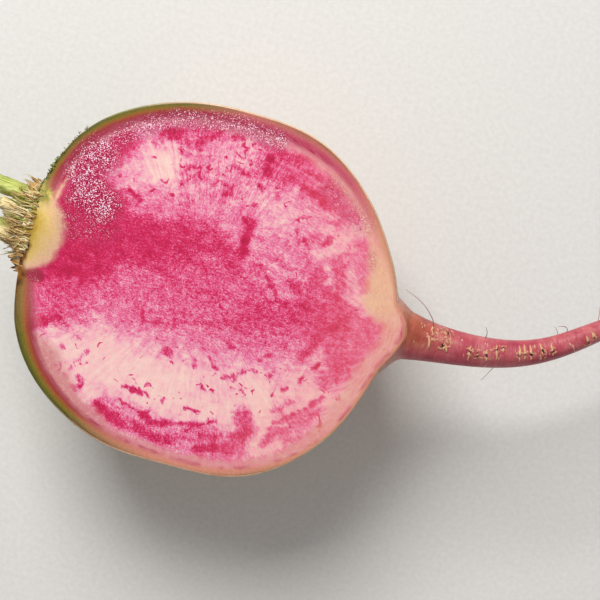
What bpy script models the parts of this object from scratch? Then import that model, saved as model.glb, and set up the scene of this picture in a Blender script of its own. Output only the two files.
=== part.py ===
"""Half of a round winter radish, cut lengthwise, lying on its skin with the cut face up.

Frame: metres, +Z up. The origin is the middle of the small flat spot that the root rests on, below the
widest section of the bulb. +X runs along the root from its crown to its tap root, and +Y to its left.

Pieces: root is the bulb with its whole tap root, and leaf_stalk_NN are the trimmed leaf stalks of the crown.
"""

import math
import random

import bmesh
import bpy
import numpy as np
from mathutils import Vector

# The bulb is round about a middle line that leans a little off +X. Its outline is a superellipse on either
# side of the widest section, at x = 0, blunt at the crown and drawn out towards the tap root.
BULB_RADIUS = 0.0391
CROWN_REACH = 0.0389
CROWN_EXPONENTS = (2.0, 2.9)
TAIL_REACH = 0.04175
TAIL_EXPONENTS = (2.5, 1.9)
MIDDLE_LEAN = -0.0253

# The knife passed above the axis, so the piece is a little more than half.
CUT_ABOVE_AXIS = 0.0055
REST_FLAT_DEPTH = 0.0008
AXIS_Z = BULB_RADIUS - REST_FLAT_DEPTH
CUT_Z = AXIS_Z + CUT_ABOVE_AXIS

# The crown's plate stands to the left of the middle line. The knife rode up over its tough tissue.
PLATE_RADIUS = 0.0088
PLATE_X = -0.0400
PLATE_SHIFT = 0.0022
PLATE_SHIFT_OVER = 0.0040
CROWN_Y = MIDDLE_LEAN * PLATE_X + PLATE_SHIFT
RISE = 0.0022
RISE_X = -0.0375
RISE_REACH = (0.0085, 0.0115)
KNIFE_REACH = 0.0500
KNIFE_CELLS = 16

# The tap root flares into the bulb a little to the left of its middle line, then bends left and sags.
TAIL_BASE_X = 0.0460
TAIL_SHIFT = 0.0036
TAIL_SHIFT_OVER = 0.0110
TAIL_FLARE = 0.0046
TAIL_FLARE_OVER = 0.0065
TAIL_LENGTH = 0.0800
TAIL_SAG = 0.0080
# Along the tap root: metres from its base, with the heading in degrees left of +X.
TAIL_HEADINGS = (
    (0.000, 0.0),
    (0.010, 5.0),
    (0.020, 13.5),
    (0.029, 27.0),
    (0.034, 34.0),
    (0.040, 37.5),
    (0.055, 32.0),
    (0.080, 8.0),
)
# Along the tap root: metres from its base, with the radius there.
TAIL_RADII = (
    (0.000, 0.0051),
    (0.003, 0.0045),
    (0.008, 0.0039),
    (0.018, 0.00325),
    (0.030, 0.0026),
    (0.040, 0.0023),
    (0.058, 0.0015),
    (0.080, 0.0004),
)
JOIN_SHARPNESS = 6.0

# Low, broad lumps in the skin, which fade out where the root is slim. For each wave: folds round the root,
# radians to the metre along it, and the start.
LUMP_HEIGHT = 0.00022
LUMP_WAVES = ((3, 95.0, 0.4), (5, -140.0, 2.1), (2, 210.0, 4.0))
LUMP_FULL_RADIUS = 0.5 * BULB_RADIUS

RING_POINTS = 44
BULB_STATIONS = 44
TAIL_STATIONS = 28
# Above 1, the rings along the tap root stand closer near its base.
TAIL_CROWDING = 1.25
FINE_STEPS = 400

# The trimmed leaf stalks stand in two rings on the crown's plate, clear of it and of each other. Together
# they lean a little to the left.
STALK_GAP = 0.0003
STALKS_Y = CROWN_Y + 0.0006
STALKS_LEAN = 0.07
OUTER_RING = (0.0038, 0.0071)
INNER_RING = (0.0007, 0.0032)
STALK_POINTS = 16
STALK_STATIONS = 9
SECTION_SQUARENESS = 0.7
STALK_END_SLANT = 0.35
# One row for each stalk: ring, degrees round the crown from +Y towards +Z, half width in degrees, length,
# lean outward in degrees, widening at the far end, and finish.
STALKS = (
    (OUTER_RING, 30.0, 24.0, 0.0150, 3.0, 1.08, "green_stalk"),
    (OUTER_RING, 77.0, 16.0, 0.0070, 0.0, 0.95, "pale_stalk"),
    (OUTER_RING, 112.0, 13.0, 0.0034, 1.0, 0.90, "dry_stalk"),
    (OUTER_RING, 149.0, 18.0, 0.0085, 4.0, 0.95, "pale_stalk"),
    (OUTER_RING, 193.0, 20.0, 0.0040, 4.0, 0.95, "dry_stalk"),
    (OUTER_RING, 238.0, 20.0, 0.0092, 10.0, 1.05, "green_stalk"),
    (OUTER_RING, 282.0, 19.0, 0.0048, 7.0, 0.95, "dry_stalk"),
    (OUTER_RING, 325.0, 19.0, 0.0074, 9.0, 1.05, "pale_stalk"),
    (INNER_RING, 30.0, 48.0, 0.0056, 2.0, 1.00, "green_stalk"),
    (INNER_RING, 150.0, 48.0, 0.0042, 2.0, 1.00, "dry_stalk"),
    (INNER_RING, 270.0, 48.0, 0.0068, 2.0, 1.00, "pale_stalk"),
)

# Dry scraps of older leaves stand round the plate's uncut side, fused to the root.
SCRAPS = 14
SCRAP_SEED = 11
SCRAP_ARC = (160.0, 385.0)
SCRAP_X = -0.0385
SCRAP_LENGTH = (0.0016, 0.0032)
SCRAP_WIDTH = (0.0014, 0.0030)
SCRAP_SPLAY = (28.0, 55.0)
SCRAP_THICKNESS = 0.0008
SCRAP_SUNK = 0.0012
# Across a scrap, from its foot to its tip: share of its length, share of its width.
SCRAP_STEPS = ((0.0, 1.0), (0.6, 0.8), (1.0, 0.25))

# Side rootlets left their scars in two rows along the tap root, as groups of short ridges across it. For
# each group: metres from the tap root's base, the group's length, and how many ridges.
SCAR_GROUPS = (
    (0.0058, 0.0036, 4),
    (0.0176, 0.0080, 6),
    (0.0268, 0.0034, 4),
    (0.0330, 0.0040, 3),
    (0.0435, 0.0040, 3),
)
SCAR_SEED = 4
# Where a row lies round the tap root at its base and its tip, in degrees from +Y towards +Z.
SCAR_TURN = (70.0, 120.0)
SCAR_ACROSS = (0.0016, 0.0028)
SCAR_WIDTH = 0.0005
SCAR_HEIGHT = 0.0003
# Across a scar, from end to end, as shares of its half length.
SCAR_STEPS = (-1.0, -0.5, 0.0, 0.5, 1.0)
SCAR_END_THINNING = 0.85

# Base colour, roughness and metallic value of each finish.
FINISHES = {
    "radish_root": ((0.72, 0.14, 0.26), 0.40, 0.0),
    "green_stalk": ((0.46, 0.55, 0.14), 0.50, 0.0),
    "pale_stalk": ((0.72, 0.62, 0.30), 0.60, 0.0),
    "dry_stalk": ((0.48, 0.33, 0.13), 0.80, 0.0),
}


def clear_scene():
    for obj in list(bpy.data.objects):
        bpy.data.objects.remove(obj)


def finish(name):
    """The material of that name, made once."""
    found = bpy.data.materials.get(name)
    if found:
        return found
    colour, roughness, metallic = FINISHES[name]
    material = bpy.data.materials.new(name)
    material.use_nodes = True
    shader = material.node_tree.nodes["Principled BSDF"]
    shader.inputs["Base Color"].default_value = (*colour, 1.0)
    shader.inputs["Roughness"].default_value = roughness
    shader.inputs["Metallic"].default_value = metallic
    return material


def smooth_step(value):
    clamped = min(1.0, max(0.0, value))
    return clamped * clamped * (3.0 - 2.0 * clamped)


def between(stations, at):
    """The value at a distance along the stations, on a smooth curve through them."""
    last = len(stations) - 1
    here = max(i for i in range(last) if stations[i][0] <= at or i == 0)
    (x0, y0), (x1, y1) = stations[here], stations[here + 1]
    before = stations[max(here - 1, 0)]
    after = stations[min(here + 2, last)]
    span = x1 - x0
    slope_0 = (y1 - before[1]) / (x1 - before[0]) * span
    slope_1 = (after[1] - y0) / (after[0] - x0) * span
    t = (at - x0) / span
    return (
        (2 * t**3 - 3 * t**2 + 1) * y0
        + (t**3 - 2 * t**2 + t) * slope_0
        + (3 * t**2 - 2 * t**3) * y1
        + (t**3 - t**2) * slope_1
    )


def joined(a, b):
    """The larger of two radii, with a soft fillet where they are alike."""
    return (a**JOIN_SHARPNESS + b**JOIN_SHARPNESS) ** (1.0 / JOIN_SHARPNESS)


def bulb_radius(x):
    """The superellipse alone."""
    reach, (inner, outer) = (TAIL_REACH, TAIL_EXPONENTS) if x > 0 else (CROWN_REACH, CROWN_EXPONENTS)
    share = min(abs(x) / reach, 1.0)
    return BULB_RADIUS * (1.0 - share**inner) ** (1.0 / outer)


def root_radius(x):
    """The bulb with the crown's plate at one end and the flare of the tap root at the other."""
    if x < 0:
        return joined(bulb_radius(x), PLATE_RADIUS)
    flare = TAIL_RADII[0][1] + TAIL_FLARE * smooth_step((TAIL_BASE_X - x) / TAIL_FLARE_OVER)
    return joined(bulb_radius(x), flare)


def middle_y(x):
    """Where the middle of the bulb's section lies at x."""
    at_crown = PLATE_SHIFT * smooth_step((PLATE_X + PLATE_SHIFT_OVER - x) / PLATE_SHIFT_OVER)
    at_tail = TAIL_SHIFT * smooth_step((x - TAIL_BASE_X + TAIL_SHIFT_OVER) / TAIL_SHIFT_OVER)
    return MIDDLE_LEAN * x + at_crown + at_tail


def lump(x, turn):
    """How far the skin stands out at a place on it."""
    waves = sum(math.sin(folds * turn + pitch * x + start) for folds, pitch, start in LUMP_WAVES)
    return LUMP_HEIGHT * waves


def ring(bm, middle, side, up, radius):
    """A ring of vertices round middle, in the plane of side and up."""
    corners = []
    for i in range(RING_POINTS):
        turn = 2.0 * math.pi * i / RING_POINTS
        out = radius + lump(middle.x, turn) * min(1.0, radius / LUMP_FULL_RADIUS)
        corners.append(bm.verts.new(middle + out * (math.cos(turn) * side + math.sin(turn) * up)))
    return corners


def bulb_stations():
    """Places along x from the plate to the base of the tap root, evenly spaced along the outline."""
    fine = np.linspace(PLATE_X, TAIL_BASE_X, 10 * FINE_STEPS)
    radii = np.array([root_radius(x) for x in fine])
    run = np.concatenate(([0.0], np.cumsum(np.hypot(np.diff(fine), np.diff(radii)))))
    return np.interp(np.linspace(0.0, run[-1], BULB_STATIONS), run, fine).tolist()


def bulb_rings(bm):
    """Upright rings from the plate to the base of the tap root."""
    rings = []
    for x in bulb_stations():
        middle = Vector((x, middle_y(x), AXIS_Z))
        rings.append(ring(bm, middle, Vector((0, 1, 0)), Vector((0, 0, 1)), root_radius(x)))
    return rings


def tail_frames(steps):
    """Distance, middle, side and up at each step along the tap root's own curve."""
    frames = []
    middle = Vector((TAIL_BASE_X, middle_y(TAIL_BASE_X), AXIS_Z))
    walked = 0.0
    for i in range(steps + 1):
        along = TAIL_LENGTH * (i / steps) ** TAIL_CROWDING
        half_way = (walked + along) / 2
        heading = math.radians(between(TAIL_HEADINGS, half_way))
        fall = 2.0 * TAIL_SAG * half_way / TAIL_LENGTH**2
        forward = Vector((math.cos(heading), math.sin(heading), -fall)).normalized()
        middle = middle + (along - walked) * forward
        side = Vector((-math.sin(heading), math.cos(heading), 0.0))
        frames.append((along, middle, side, forward.cross(side)))
        walked = along
    return frames


def tail_rings(bm):
    """Rings square to the tap root's curve, from just past its base to its tip."""
    frames = tail_frames(TAIL_STATIONS)[1:]
    return [ring(bm, middle, side, up, between(TAIL_RADII, along)) for along, middle, side, up in frames]


def skin(bm, rings):
    """Closes the rings into one body, with a cap at each end."""
    for first, second in zip(rings, rings[1:]):
        for i in range(len(first)):
            j = (i + 1) % len(first)
            bm.faces.new((first[i], first[j], second[j], second[i]))
    bm.faces.new(list(reversed(rings[0])))
    bm.faces.new(rings[-1])
    bmesh.ops.recalc_face_normals(bm, faces=bm.faces)


def object_from(bm, name, material=None):
    mesh = bpy.data.meshes.new(name)
    bm.to_mesh(mesh)
    bm.free()
    obj = bpy.data.objects.new(name, mesh)
    bpy.context.scene.collection.objects.link(obj)
    if material:
        mesh.materials.append(finish(material))
    return obj


def as_guide(obj):
    """Keeps a cutter out of the model."""
    obj.hide_render = True
    obj.display_type = "WIRE"
    return obj


def cut_height(x, y):
    """Height of the knife's path, which rides up over the crown."""
    off = math.hypot((x - RISE_X) / RISE_REACH[0], (y - CROWN_Y) / RISE_REACH[1])
    return CUT_Z + RISE * smooth_step(1.0 - off)


def knife_lines(middle, reach):
    """Grid lines of the knife's path: close together over the rise, and one at either edge."""
    over = [middle + reach * (2.0 * i / (KNIFE_CELLS - 2) - 1.0) for i in range(KNIFE_CELLS - 1)]
    return [-KNIFE_REACH, *over, KNIFE_REACH]


def knife_cut():
    """What the knife took off: everything above its path."""
    xs = knife_lines(RISE_X, RISE_REACH[0])
    ys = knife_lines(CROWN_Y, RISE_REACH[1])
    bm = bmesh.new()
    bmesh.ops.create_grid(bm, x_segments=KNIFE_CELLS, y_segments=KNIFE_CELLS, size=KNIFE_CELLS / 2)
    for vert in bm.verts:
        x = xs[round(vert.co.x + KNIFE_CELLS / 2)]
        y = ys[round(vert.co.y + KNIFE_CELLS / 2)]
        vert.co = (x, y, cut_height(x, y))
    lifted = bmesh.ops.extrude_face_region(bm, geom=list(bm.faces))["geom"]
    for item in lifted:
        if isinstance(item, bmesh.types.BMVert):
            item.co.z = CUT_Z + BULB_RADIUS
    bmesh.ops.recalc_face_normals(bm, faces=bm.faces)
    return as_guide(object_from(bm, "knife_cut"))


def rest_cut():
    """The flat that the root settled on."""
    bm = bmesh.new()
    bmesh.ops.create_cube(bm, size=2.0 * BULB_RADIUS)
    bmesh.ops.translate(bm, verts=bm.verts, vec=(0.0, 0.0, -BULB_RADIUS))
    return as_guide(object_from(bm, "rest_cut"))


def scrap(draw, turn):
    """One dry scrap of an old leaf base, its foot sunk in the root."""
    length = SCRAP_SUNK + draw.uniform(*SCRAP_LENGTH)
    width = draw.uniform(*SCRAP_WIDTH)
    splay = math.radians(draw.uniform(*SCRAP_SPLAY))
    outward = Vector((0.0, math.cos(turn), math.sin(turn)))
    forward = Vector((-math.cos(splay), 0.0, 0.0)) + math.sin(splay) * outward
    across = outward.cross(Vector((1, 0, 0)))
    thick = forward.cross(across).normalized() * (SCRAP_THICKNESS / 2)
    foot = Vector((SCRAP_X, CROWN_Y, AXIS_Z)) + outward * (PLATE_RADIUS - SCRAP_SUNK)
    bm = bmesh.new()
    rings = []
    for share, wide in SCRAP_STEPS:
        middle = foot + forward * length * share
        half = across * (width * wide / 2)
        sides = ((half, thick), (-half, thick), (-half, -thick), (half, -thick))
        rings.append([bm.verts.new(middle + a + b) for a, b in sides])
    skin(bm, rings)
    return object_from(bm, "scrap")


def scar(place, turn, across):
    """One ridge across the tap root, half sunk in it."""
    along, middle, side, up = place
    outward = math.cos(turn) * side + math.sin(turn) * up
    crosswise = math.cos(turn) * up - math.sin(turn) * side
    forward = outward.cross(crosswise)
    radius = between(TAIL_RADII, along)
    bend = across / (2.0 * radius)
    bm = bmesh.new()
    rings = []
    for share in SCAR_STEPS:
        thin = math.sqrt(1.0 - SCAR_END_THINNING * share * share)
        around = math.cos(share * bend) * outward + math.sin(share * bend) * crosswise
        half = forward * (SCAR_WIDTH / 2 * thin)
        top = around * (radius + SCAR_HEIGHT * thin)
        low = around * (radius - 2.0 * SCAR_HEIGHT)
        rings.append([bm.verts.new(middle + corner) for corner in (top, low + half, low - half)])
    skin(bm, rings)
    return object_from(bm, "scar")


def crown_scraps():
    draw = random.Random(SCRAP_SEED)
    first, last = SCRAP_ARC
    step = (last - first) / (SCRAPS - 1)
    return [scrap(draw, math.radians(first + step * (i + draw.uniform(-0.3, 0.3)))) for i in range(SCRAPS)]


def tail_scars():
    """Both rows of rootlet scars."""
    draw = random.Random(SCAR_SEED)
    places = tail_frames(FINE_STEPS)
    scars = []
    for opposite in (0.0, 180.0):
        for start, length, count in SCAR_GROUPS:
            for i in range(count):
                along = start + length * ((i + 0.5) / count - 0.5) + draw.uniform(-1, 1) * SCAR_WIDTH / 2
                place = min(places, key=lambda found: abs(found[0] - along))
                turn = SCAR_TURN[0] + (SCAR_TURN[1] - SCAR_TURN[0]) * along / TAIL_LENGTH
                turn += opposite + draw.uniform(-8.0, 8.0)
                scars.append(scar(place, math.radians(turn), draw.uniform(*SCAR_ACROSS)))
    return scars


def apply_modifiers(obj):
    bpy.context.view_layer.update()
    graph = bpy.context.evaluated_depsgraph_get()
    obj.data = bpy.data.meshes.new_from_object(obj.evaluated_get(graph))
    obj.modifiers.clear()


def fuse(root, pieces):
    """Joins the pieces to the root, then removes their objects."""
    group = bpy.data.collections.new("fused")
    bpy.context.scene.collection.children.link(group)
    for piece in pieces:
        bpy.context.scene.collection.objects.unlink(piece)
        group.objects.link(piece)
    union = root.modifiers.new("fused", "BOOLEAN")
    union.operation = "UNION"
    union.operand_type = "COLLECTION"
    union.collection = group
    apply_modifiers(root)
    for piece in pieces:
        bpy.data.objects.remove(piece)
    bpy.data.collections.remove(group)


def make_root():
    """The bulb and its tap root, with the knife's cut and the flat that it rests on."""
    bm = bmesh.new()
    skin(bm, bulb_rings(bm) + tail_rings(bm))
    root = object_from(bm, "root", "radish_root")
    for cutter in (knife_cut(), rest_cut()):
        cut = root.modifiers.new(cutter.name, "BOOLEAN")
        cut.operation = "DIFFERENCE"
        cut.object = cutter
    apply_modifiers(root)
    fuse(root, crown_scraps() + tail_scars())
    root.data.shade_smooth()
    root.data.set_sharp_from_angle(angle=math.radians(35.0))
    return root


def squared(value):
    """A cosine or sine pushed outward, for a section with soft corners."""
    return math.copysign(abs(value) ** SECTION_SQUARENESS, value)


def make_stalk(number, span, turn_degrees, half_degrees, length, lean_degrees, widening, material):
    """One trimmed leaf stalk: a rounded sector of its ring that leans outward and ends on a slant."""
    inner, outer = span
    turn, half = math.radians(turn_degrees), math.radians(half_degrees)
    lean = math.tan(math.radians(lean_degrees))
    start = Vector((PLATE_X - STALK_GAP, STALKS_Y, AXIS_Z))
    forward = Vector((-1.0, STALKS_LEAN + lean * math.cos(turn), lean * math.sin(turn)))
    bm = bmesh.new()
    rings = []
    for i in range(STALK_STATIONS):
        share = i / (STALK_STATIONS - 1)
        wide = 1.0 + (widening - 1.0) * smooth_step(share)
        corners = []
        for k in range(STALK_POINTS):
            angle = 2.0 * math.pi * k / STALK_POINTS
            around = turn + half * wide * squared(math.cos(angle))
            out = (inner + outer) / 2 + (outer - inner) / 2 * squared(math.sin(angle))
            slant = STALK_END_SLANT * (out - inner) * share
            offset = Vector((0.0, math.cos(around), math.sin(around))) * out
            corners.append(bm.verts.new(start + forward * (length * share - slant) + offset))
        rings.append(corners)
    skin(bm, rings)
    stalk = object_from(bm, f"leaf_stalk_{number:02d}", material)
    stalk.data.shade_smooth()
    stalk.data.set_sharp_from_angle(angle=math.radians(40.0))
    return stalk


def main():
    clear_scene()
    radish = bpy.data.objects.new("radish", None)
    bpy.context.scene.collection.objects.link(radish)
    pieces = [make_root()]
    for number, row in enumerate(STALKS, start=1):
        pieces.append(make_stalk(number, *row))
    for piece in pieces:
        piece.parent = radish


main()
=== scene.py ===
import math
import random

import bpy
import numpy as np
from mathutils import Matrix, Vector, noise


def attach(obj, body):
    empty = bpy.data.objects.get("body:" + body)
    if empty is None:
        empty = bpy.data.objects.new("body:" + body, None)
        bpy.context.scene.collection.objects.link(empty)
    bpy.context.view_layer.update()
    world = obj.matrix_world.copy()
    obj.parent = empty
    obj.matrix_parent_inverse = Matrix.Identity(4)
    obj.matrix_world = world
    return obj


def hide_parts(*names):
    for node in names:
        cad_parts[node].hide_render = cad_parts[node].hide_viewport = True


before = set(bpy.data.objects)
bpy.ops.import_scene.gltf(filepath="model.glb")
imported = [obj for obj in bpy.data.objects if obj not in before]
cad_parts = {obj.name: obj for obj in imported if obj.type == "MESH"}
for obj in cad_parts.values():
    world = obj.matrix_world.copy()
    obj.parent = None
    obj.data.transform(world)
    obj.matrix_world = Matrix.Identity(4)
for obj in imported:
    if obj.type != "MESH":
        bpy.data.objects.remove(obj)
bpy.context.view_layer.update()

# The root's own form, in metres, as the frame has it. Z is up, and +X runs from the crown to the tap root.
BULB_RADIUS = 0.0391
CROWN_REACH = 0.0389
CROWN_EXPONENTS = (2.0, 2.9)
TAIL_REACH = 0.04175
TAIL_EXPONENTS = (2.5, 1.9)
MIDDLE_LEAN = -0.0253
CUT_ABOVE_AXIS = 0.0055
REST_FLAT_DEPTH = 0.0008
AXIS_Z = BULB_RADIUS - REST_FLAT_DEPTH
CUT_Z = AXIS_Z + CUT_ABOVE_AXIS
PLATE_RADIUS = 0.0088
PLATE_X = -0.0400
PLATE_SHIFT = 0.0022
PLATE_SHIFT_OVER = 0.0040
CROWN_Y = MIDDLE_LEAN * PLATE_X + PLATE_SHIFT
RISE = 0.0022
RISE_X = -0.0375
RISE_REACH = (0.0085, 0.0115)
TAIL_BASE_X = 0.0460
TAIL_SHIFT = 0.0036
TAIL_SHIFT_OVER = 0.0110
TAIL_FLARE = 0.0046
TAIL_FLARE_OVER = 0.0065
TAIL_LENGTH = 0.0800
TAIL_SAG = 0.0080
# The tap root's heading in degrees, and its radius, by the distance from its base.
TAIL_HEADINGS = (
    (0.0, 0.0), (0.010, 5.0), (0.020, 13.5), (0.029, 27.0), (0.034, 34.0), (0.040, 37.5), (0.055, 32.0),
    (0.080, 8.0))
TAIL_RADII = (
    (0.0, 0.0051), (0.003, 0.0045), (0.008, 0.0039), (0.018, 0.00325), (0.030, 0.0026), (0.040, 0.0023),
    (0.058, 0.0015), (0.080, 0.0004))
JOIN_SHARPNESS = 6.0
LUMP_HEIGHT = 0.00022
LUMP_WAVES = ((3, 95.0, 0.4), (5, -140.0, 2.1), (2, 210.0, 4.0))
LUMP_FULL_RADIUS = 0.5 * BULB_RADIUS

# The bundle of trimmed leaf stalks.
STALK_GAP = 0.0003
STALKS_Y = CROWN_Y + 0.0006
STALKS_LEAN = 0.07
STALKS_RADIUS = 0.0072
OUTER_RING = (0.0038, 0.0071)
INNER_RING = (0.0007, 0.0032)
SECTION_SQUARENESS = 0.7
STALK_END_SLANT = 0.35
# Each stalk: its ring, degrees round the crown from +Y towards +Z, half width in degrees, length, lean
# outward in degrees, widening at the far end, and finish.
STALKS = (
    (OUTER_RING, 30.0, 24.0, 0.0150, 3.0, 1.08, "green_stalk"),
    (OUTER_RING, 77.0, 16.0, 0.0070, 0.0, 0.95, "pale_stalk"),
    (OUTER_RING, 112.0, 13.0, 0.0034, 1.0, 0.90, "dry_stalk"),
    (OUTER_RING, 149.0, 18.0, 0.0085, 4.0, 0.95, "pale_stalk"),
    (OUTER_RING, 193.0, 20.0, 0.0040, 4.0, 0.95, "dry_stalk"),
    (OUTER_RING, 238.0, 20.0, 0.0092, 10.0, 1.05, "green_stalk"),
    (OUTER_RING, 282.0, 19.0, 0.0048, 7.0, 0.95, "dry_stalk"),
    (OUTER_RING, 325.0, 19.0, 0.0074, 9.0, 1.05, "pale_stalk"),
    (INNER_RING, 30.0, 48.0, 0.0056, 2.0, 1.00, "green_stalk"),
    (INNER_RING, 150.0, 48.0, 0.0042, 2.0, 1.00, "dry_stalk"),
    (INNER_RING, 270.0, 48.0, 0.0068, 2.0, 1.00, "pale_stalk"),
)

# How finely a stub is modelled, how its ribs run, how far it has shrunk, and how its end is frayed and
# sunken.
STALK_AROUND = 72
STALK_STEP = 0.00022
STALK_LEAST_RIBS = 8
STALK_RIBS_PER_MM = 9.0
STALK_RIB = 0.00016
STALK_SHRINKING = 0.00022
STALK_LEAST_WIDTH = 0.1
STALK_FRAY = 0.0011
STALK_FULL_FRAY_LENGTH = 0.006
STALK_PITH = 0.0007
STALK_PITH_EDGE = 0.6
STALK_END_ROUGHNESS = 0.00025
STALK_END_CLOSING = 0.96
STALK_END_RINGS = 9

# Each finish of the crown: the record's slot, the stub's tissue with its colours and roughness, and the torn
# fibre's colours.
CROWN_FINISHES = (
    ("green_stalk", "fresh_stalk", ("#C6CC70", "#A4B040", "#6A7C1C", "#C8C078"), 0.42,
     "green_fibre", ("#5E6A14", "#94A038", "#C8CC74")),
    ("pale_stalk", "blanched_stalk", ("#EAD9A2", "#D8BE7C", "#A8803C", "#D8B87C"), 0.5,
     "straw_fibre", ("#A8803E", "#DCC080", "#F4E6BA")),
    ("dry_stalk", "withered_stalk", ("#C89C58", "#A07038", "#5C3818", "#8A5C2C"), 0.65,
     "brown_fibre", ("#5A3818", "#A07438", "#D2AC6C")),
)

# The torn fibres of old leaf stalks that lie over the stubs, and those that stand among them: how many, their
# lengths and thicknesses, and each finish's share of them.
STRAND_SEED = 23
STRANDS_OVER = (180, (0.0016, 0.0062), (0.00007, 0.00024))
STRANDS_AMONG = (170, (0.0012, 0.0045), (0.00006, 0.00017))
STRAND_SHARES = {"pale_stalk": 0.60, "dry_stalk": 0.26, "green_stalk": 0.14}
STRAND_TAPER = ((0.0, 1.0), (0.7, 0.75), (1.0, 0.25))
STRAND_FLATNESS = (0.45, 0.9)
# Where the feet of those over the stubs are, and how they fan out, curl, lift, wave and fall.
STRAND_FEET_ACROSS = (-0.0035, 0.0098)
STRAND_FEET_X = -0.0375
STRAND_FEET_SCATTER = 0.0018
STRAND_FEET_NEAR = 0.004
STRAND_FEET_CURVE = 0.02
STRAND_FAN = 0.28
STRAND_FAN_OUTWARD = 5.0
STRAND_CURL = 0.8
STRAND_LIFT = (0.0001, 0.0008)
STRAND_WAVE = 0.00030
STRAND_WAVE_RADIANS = 9.0
STRAND_FALL_BEFORE = 0.0012
STRAND_FALL_OVER = 0.003
STRAND_OVER_STEPS = 8
# The same for those among the stubs, which splay and twist.
STRAND_FEET_TURNS = (-200.0, 40.0)
STRAND_FEET_RINGS = ((0.0030, 0.0040), (0.0069, 0.0084))
STRAND_SUNK = 0.0004
STRAND_SPLAY = (-0.10, 0.28)
STRAND_TWIST = 0.6
STRAND_UNEVENNESS = 0.3
STRAND_AMONG_STEPS = 7

# Tufts along the crown's edge of the cut: piece, how many, seed, the stretch of the root that they line, how
# far in they reach, thickness, and the finish with its colours.
TUFTS = (
    ("dark_tufts", 190, 17, (-0.0394, -0.0370), 0.0024, (0.00006, 0.00015),
     "dark_bud", ("#1C2408", "#465014", "#98A04C")),
    ("ragged_edge", 34, 18, (-0.0374, -0.0325), 0.0008, (0.00005, 0.00012),
     "ragged_edge", ("#2A1A0A", "#5E4A18", "#8E7C38")),
)
TUFT_LENGTH = (0.0003, 0.0007)
TUFT_STEPS = 6
TUFT_SIDES = 8
TUFT_OUTSIDE = 0.0003
TUFT_SUNK = 0.0003
TUFT_CROWDING = 1.5
TUFT_HEADING = (-0.4, 0.3, 0.5)
TUFT_SPREAD = 1.2
TUFT_CURL = 0.4
TUFT_DROOP = 0.2
TUFT_TAPER = ((0.0, 0.7), (0.5, 1.0), (1.0, 0.3))

# The bud: its place beside the cut, the points round it, and its profile from foot to dimple.
BUD_AT = (-0.0392, 0.0031)
BUD_AROUND = 28
BUD_PROFILE = ((0.00095, -0.0008), (0.001, -0.0002), (0.00092, 0.00025), (0.00068, 0.00048),
               (0.00045, 0.00042), (0.0003, 0.00022), (0.00016, 0.00014), (0.00006, 0.00013))

# The dry scraps of older leaves round the crown.
SCRAPS = 14
SCRAP_SEED = 11
SCRAP_ARC = (160.0, 385.0)
SCRAP_X = -0.0385
SCRAP_LENGTH = (0.0016, 0.0032)
SCRAP_WIDTH = (0.0014, 0.0030)
SCRAP_SPLAY = (28.0, 55.0)
SCRAP_SUNK = 0.0012
SCRAP_THICK = 0.0007
SCRAP_AROUND = 22
SCRAP_STEPS = 12
SCRAP_RIBS = 9.0
SCRAP_RIB = 0.12
SCRAP_BOW = 0.35
SCRAP_CURL = (0.05, 0.45)
SCRAP_TEARS = 7
SCRAP_TORN_TO = (0.55, 1.0)
SCRAP_JITTER = 0.3
# The smaller scraps along the edge of the cut.
EDGE_SCRAPS = 16
EDGE_SCRAP_SEED = 5
EDGE_SCRAP_LENGTH = (0.0012, 0.0034)
EDGE_SCRAP_WIDTH = (0.0007, 0.0018)
EDGE_SCRAP_THICK = 0.00035
EDGE_SCRAP_ACROSS = (-0.0072, -0.0012)
EDGE_SCRAP_X = -0.0378
EDGE_SCRAP_SCATTER = 0.0010
EDGE_SCRAP_CURVE = 0.2
EDGE_SCRAP_STRAIGHT_TO = -0.004
EDGE_SCRAP_SUNK = 0.0003

# The scars of the side rootlets, in millimetres: along the tap root from its base, and round it from its top
# towards its left. Each group has ridges, from end to end, and the cracks that run through them.
SCARS = (
    (((3.5, 1.3, 4.2, -1.7), (6.7, 0.5, 7.4, -1.3), (7.6, 0.2, 8, -1.5), (7.6, 3.4, 8, 2),
      (4, 4.1, 3.9, 2.6)),
     (((3.6, 1.6), (4, 1.4), (4.3, 1.2), (5.4, 1.4)), ((5.8, 3.3), (6.3, 3.5), (7, 4), (7.5, 3.5), (7.7, 2)),
      ((8, 3.7), (8.6, 2.2), (9.1, 1.7), (9.3, 1.4)), ((7, 1.4), (7.2, 0.9)),
      ((7.6, 0.5), (7.9, 0.2), (8.2, 0.7)), ((6.8, 0.6), (6.4, 0.3), (6.5, -0.1), (6.8, -0.3)),
      ((4.2, 2.9), (4.8, 2)))),
    (((12.8, 1.5, 12.9, -2.9), (14.4, 0.5, 14.6, -1.6), (16.4, 1.1, 16.7, -2.3), (18.6, 2.4, 18.6, -1.8),
      (20.1, 1.9, 20, 0.1)),
     (((12.5, 0.1), (13.4, -0.6), (15, 0.1), (16.8, -0.4), (18, 0.6), (20.3, 1.5)),
      ((14.2, -1.1), (15.6, -0.6), (17.5, -0.9)))),
    (((23.8, 2.3, 23.6, -2.2), (25, 2.5, 24.7, -1.7), (26.2, 2, 26, -1.9), (27.3, 1.9, 27.2, 0.5)),
     (((23.4, -0.3), (24.6, -0.5), (25.6, -0.2), (26.6, -0.5)),)),
    (((28.5, 2.3, 28.8, -1.9), (31, 1.7, 30.8, -1.8)),
     (((28.7, 0.1), (29.1, -0.6), (28.6, -1.5)), ((30.7, -0.8), (31.3, -0.4)))),
    (((38.7, 0.5, 39.2, -2.2), (40.4, 0.9, 40.3, -1.5)),
     (((38.4, -1.4), (39.4, -1), (40.6, -0.6)),)),
)
SCAR_HEIGHT = 0.00026
SCAR_HALF_WIDTH = 0.19
SCAR_STEP = 0.10
SCAR_SUNK = 0.00016
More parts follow.
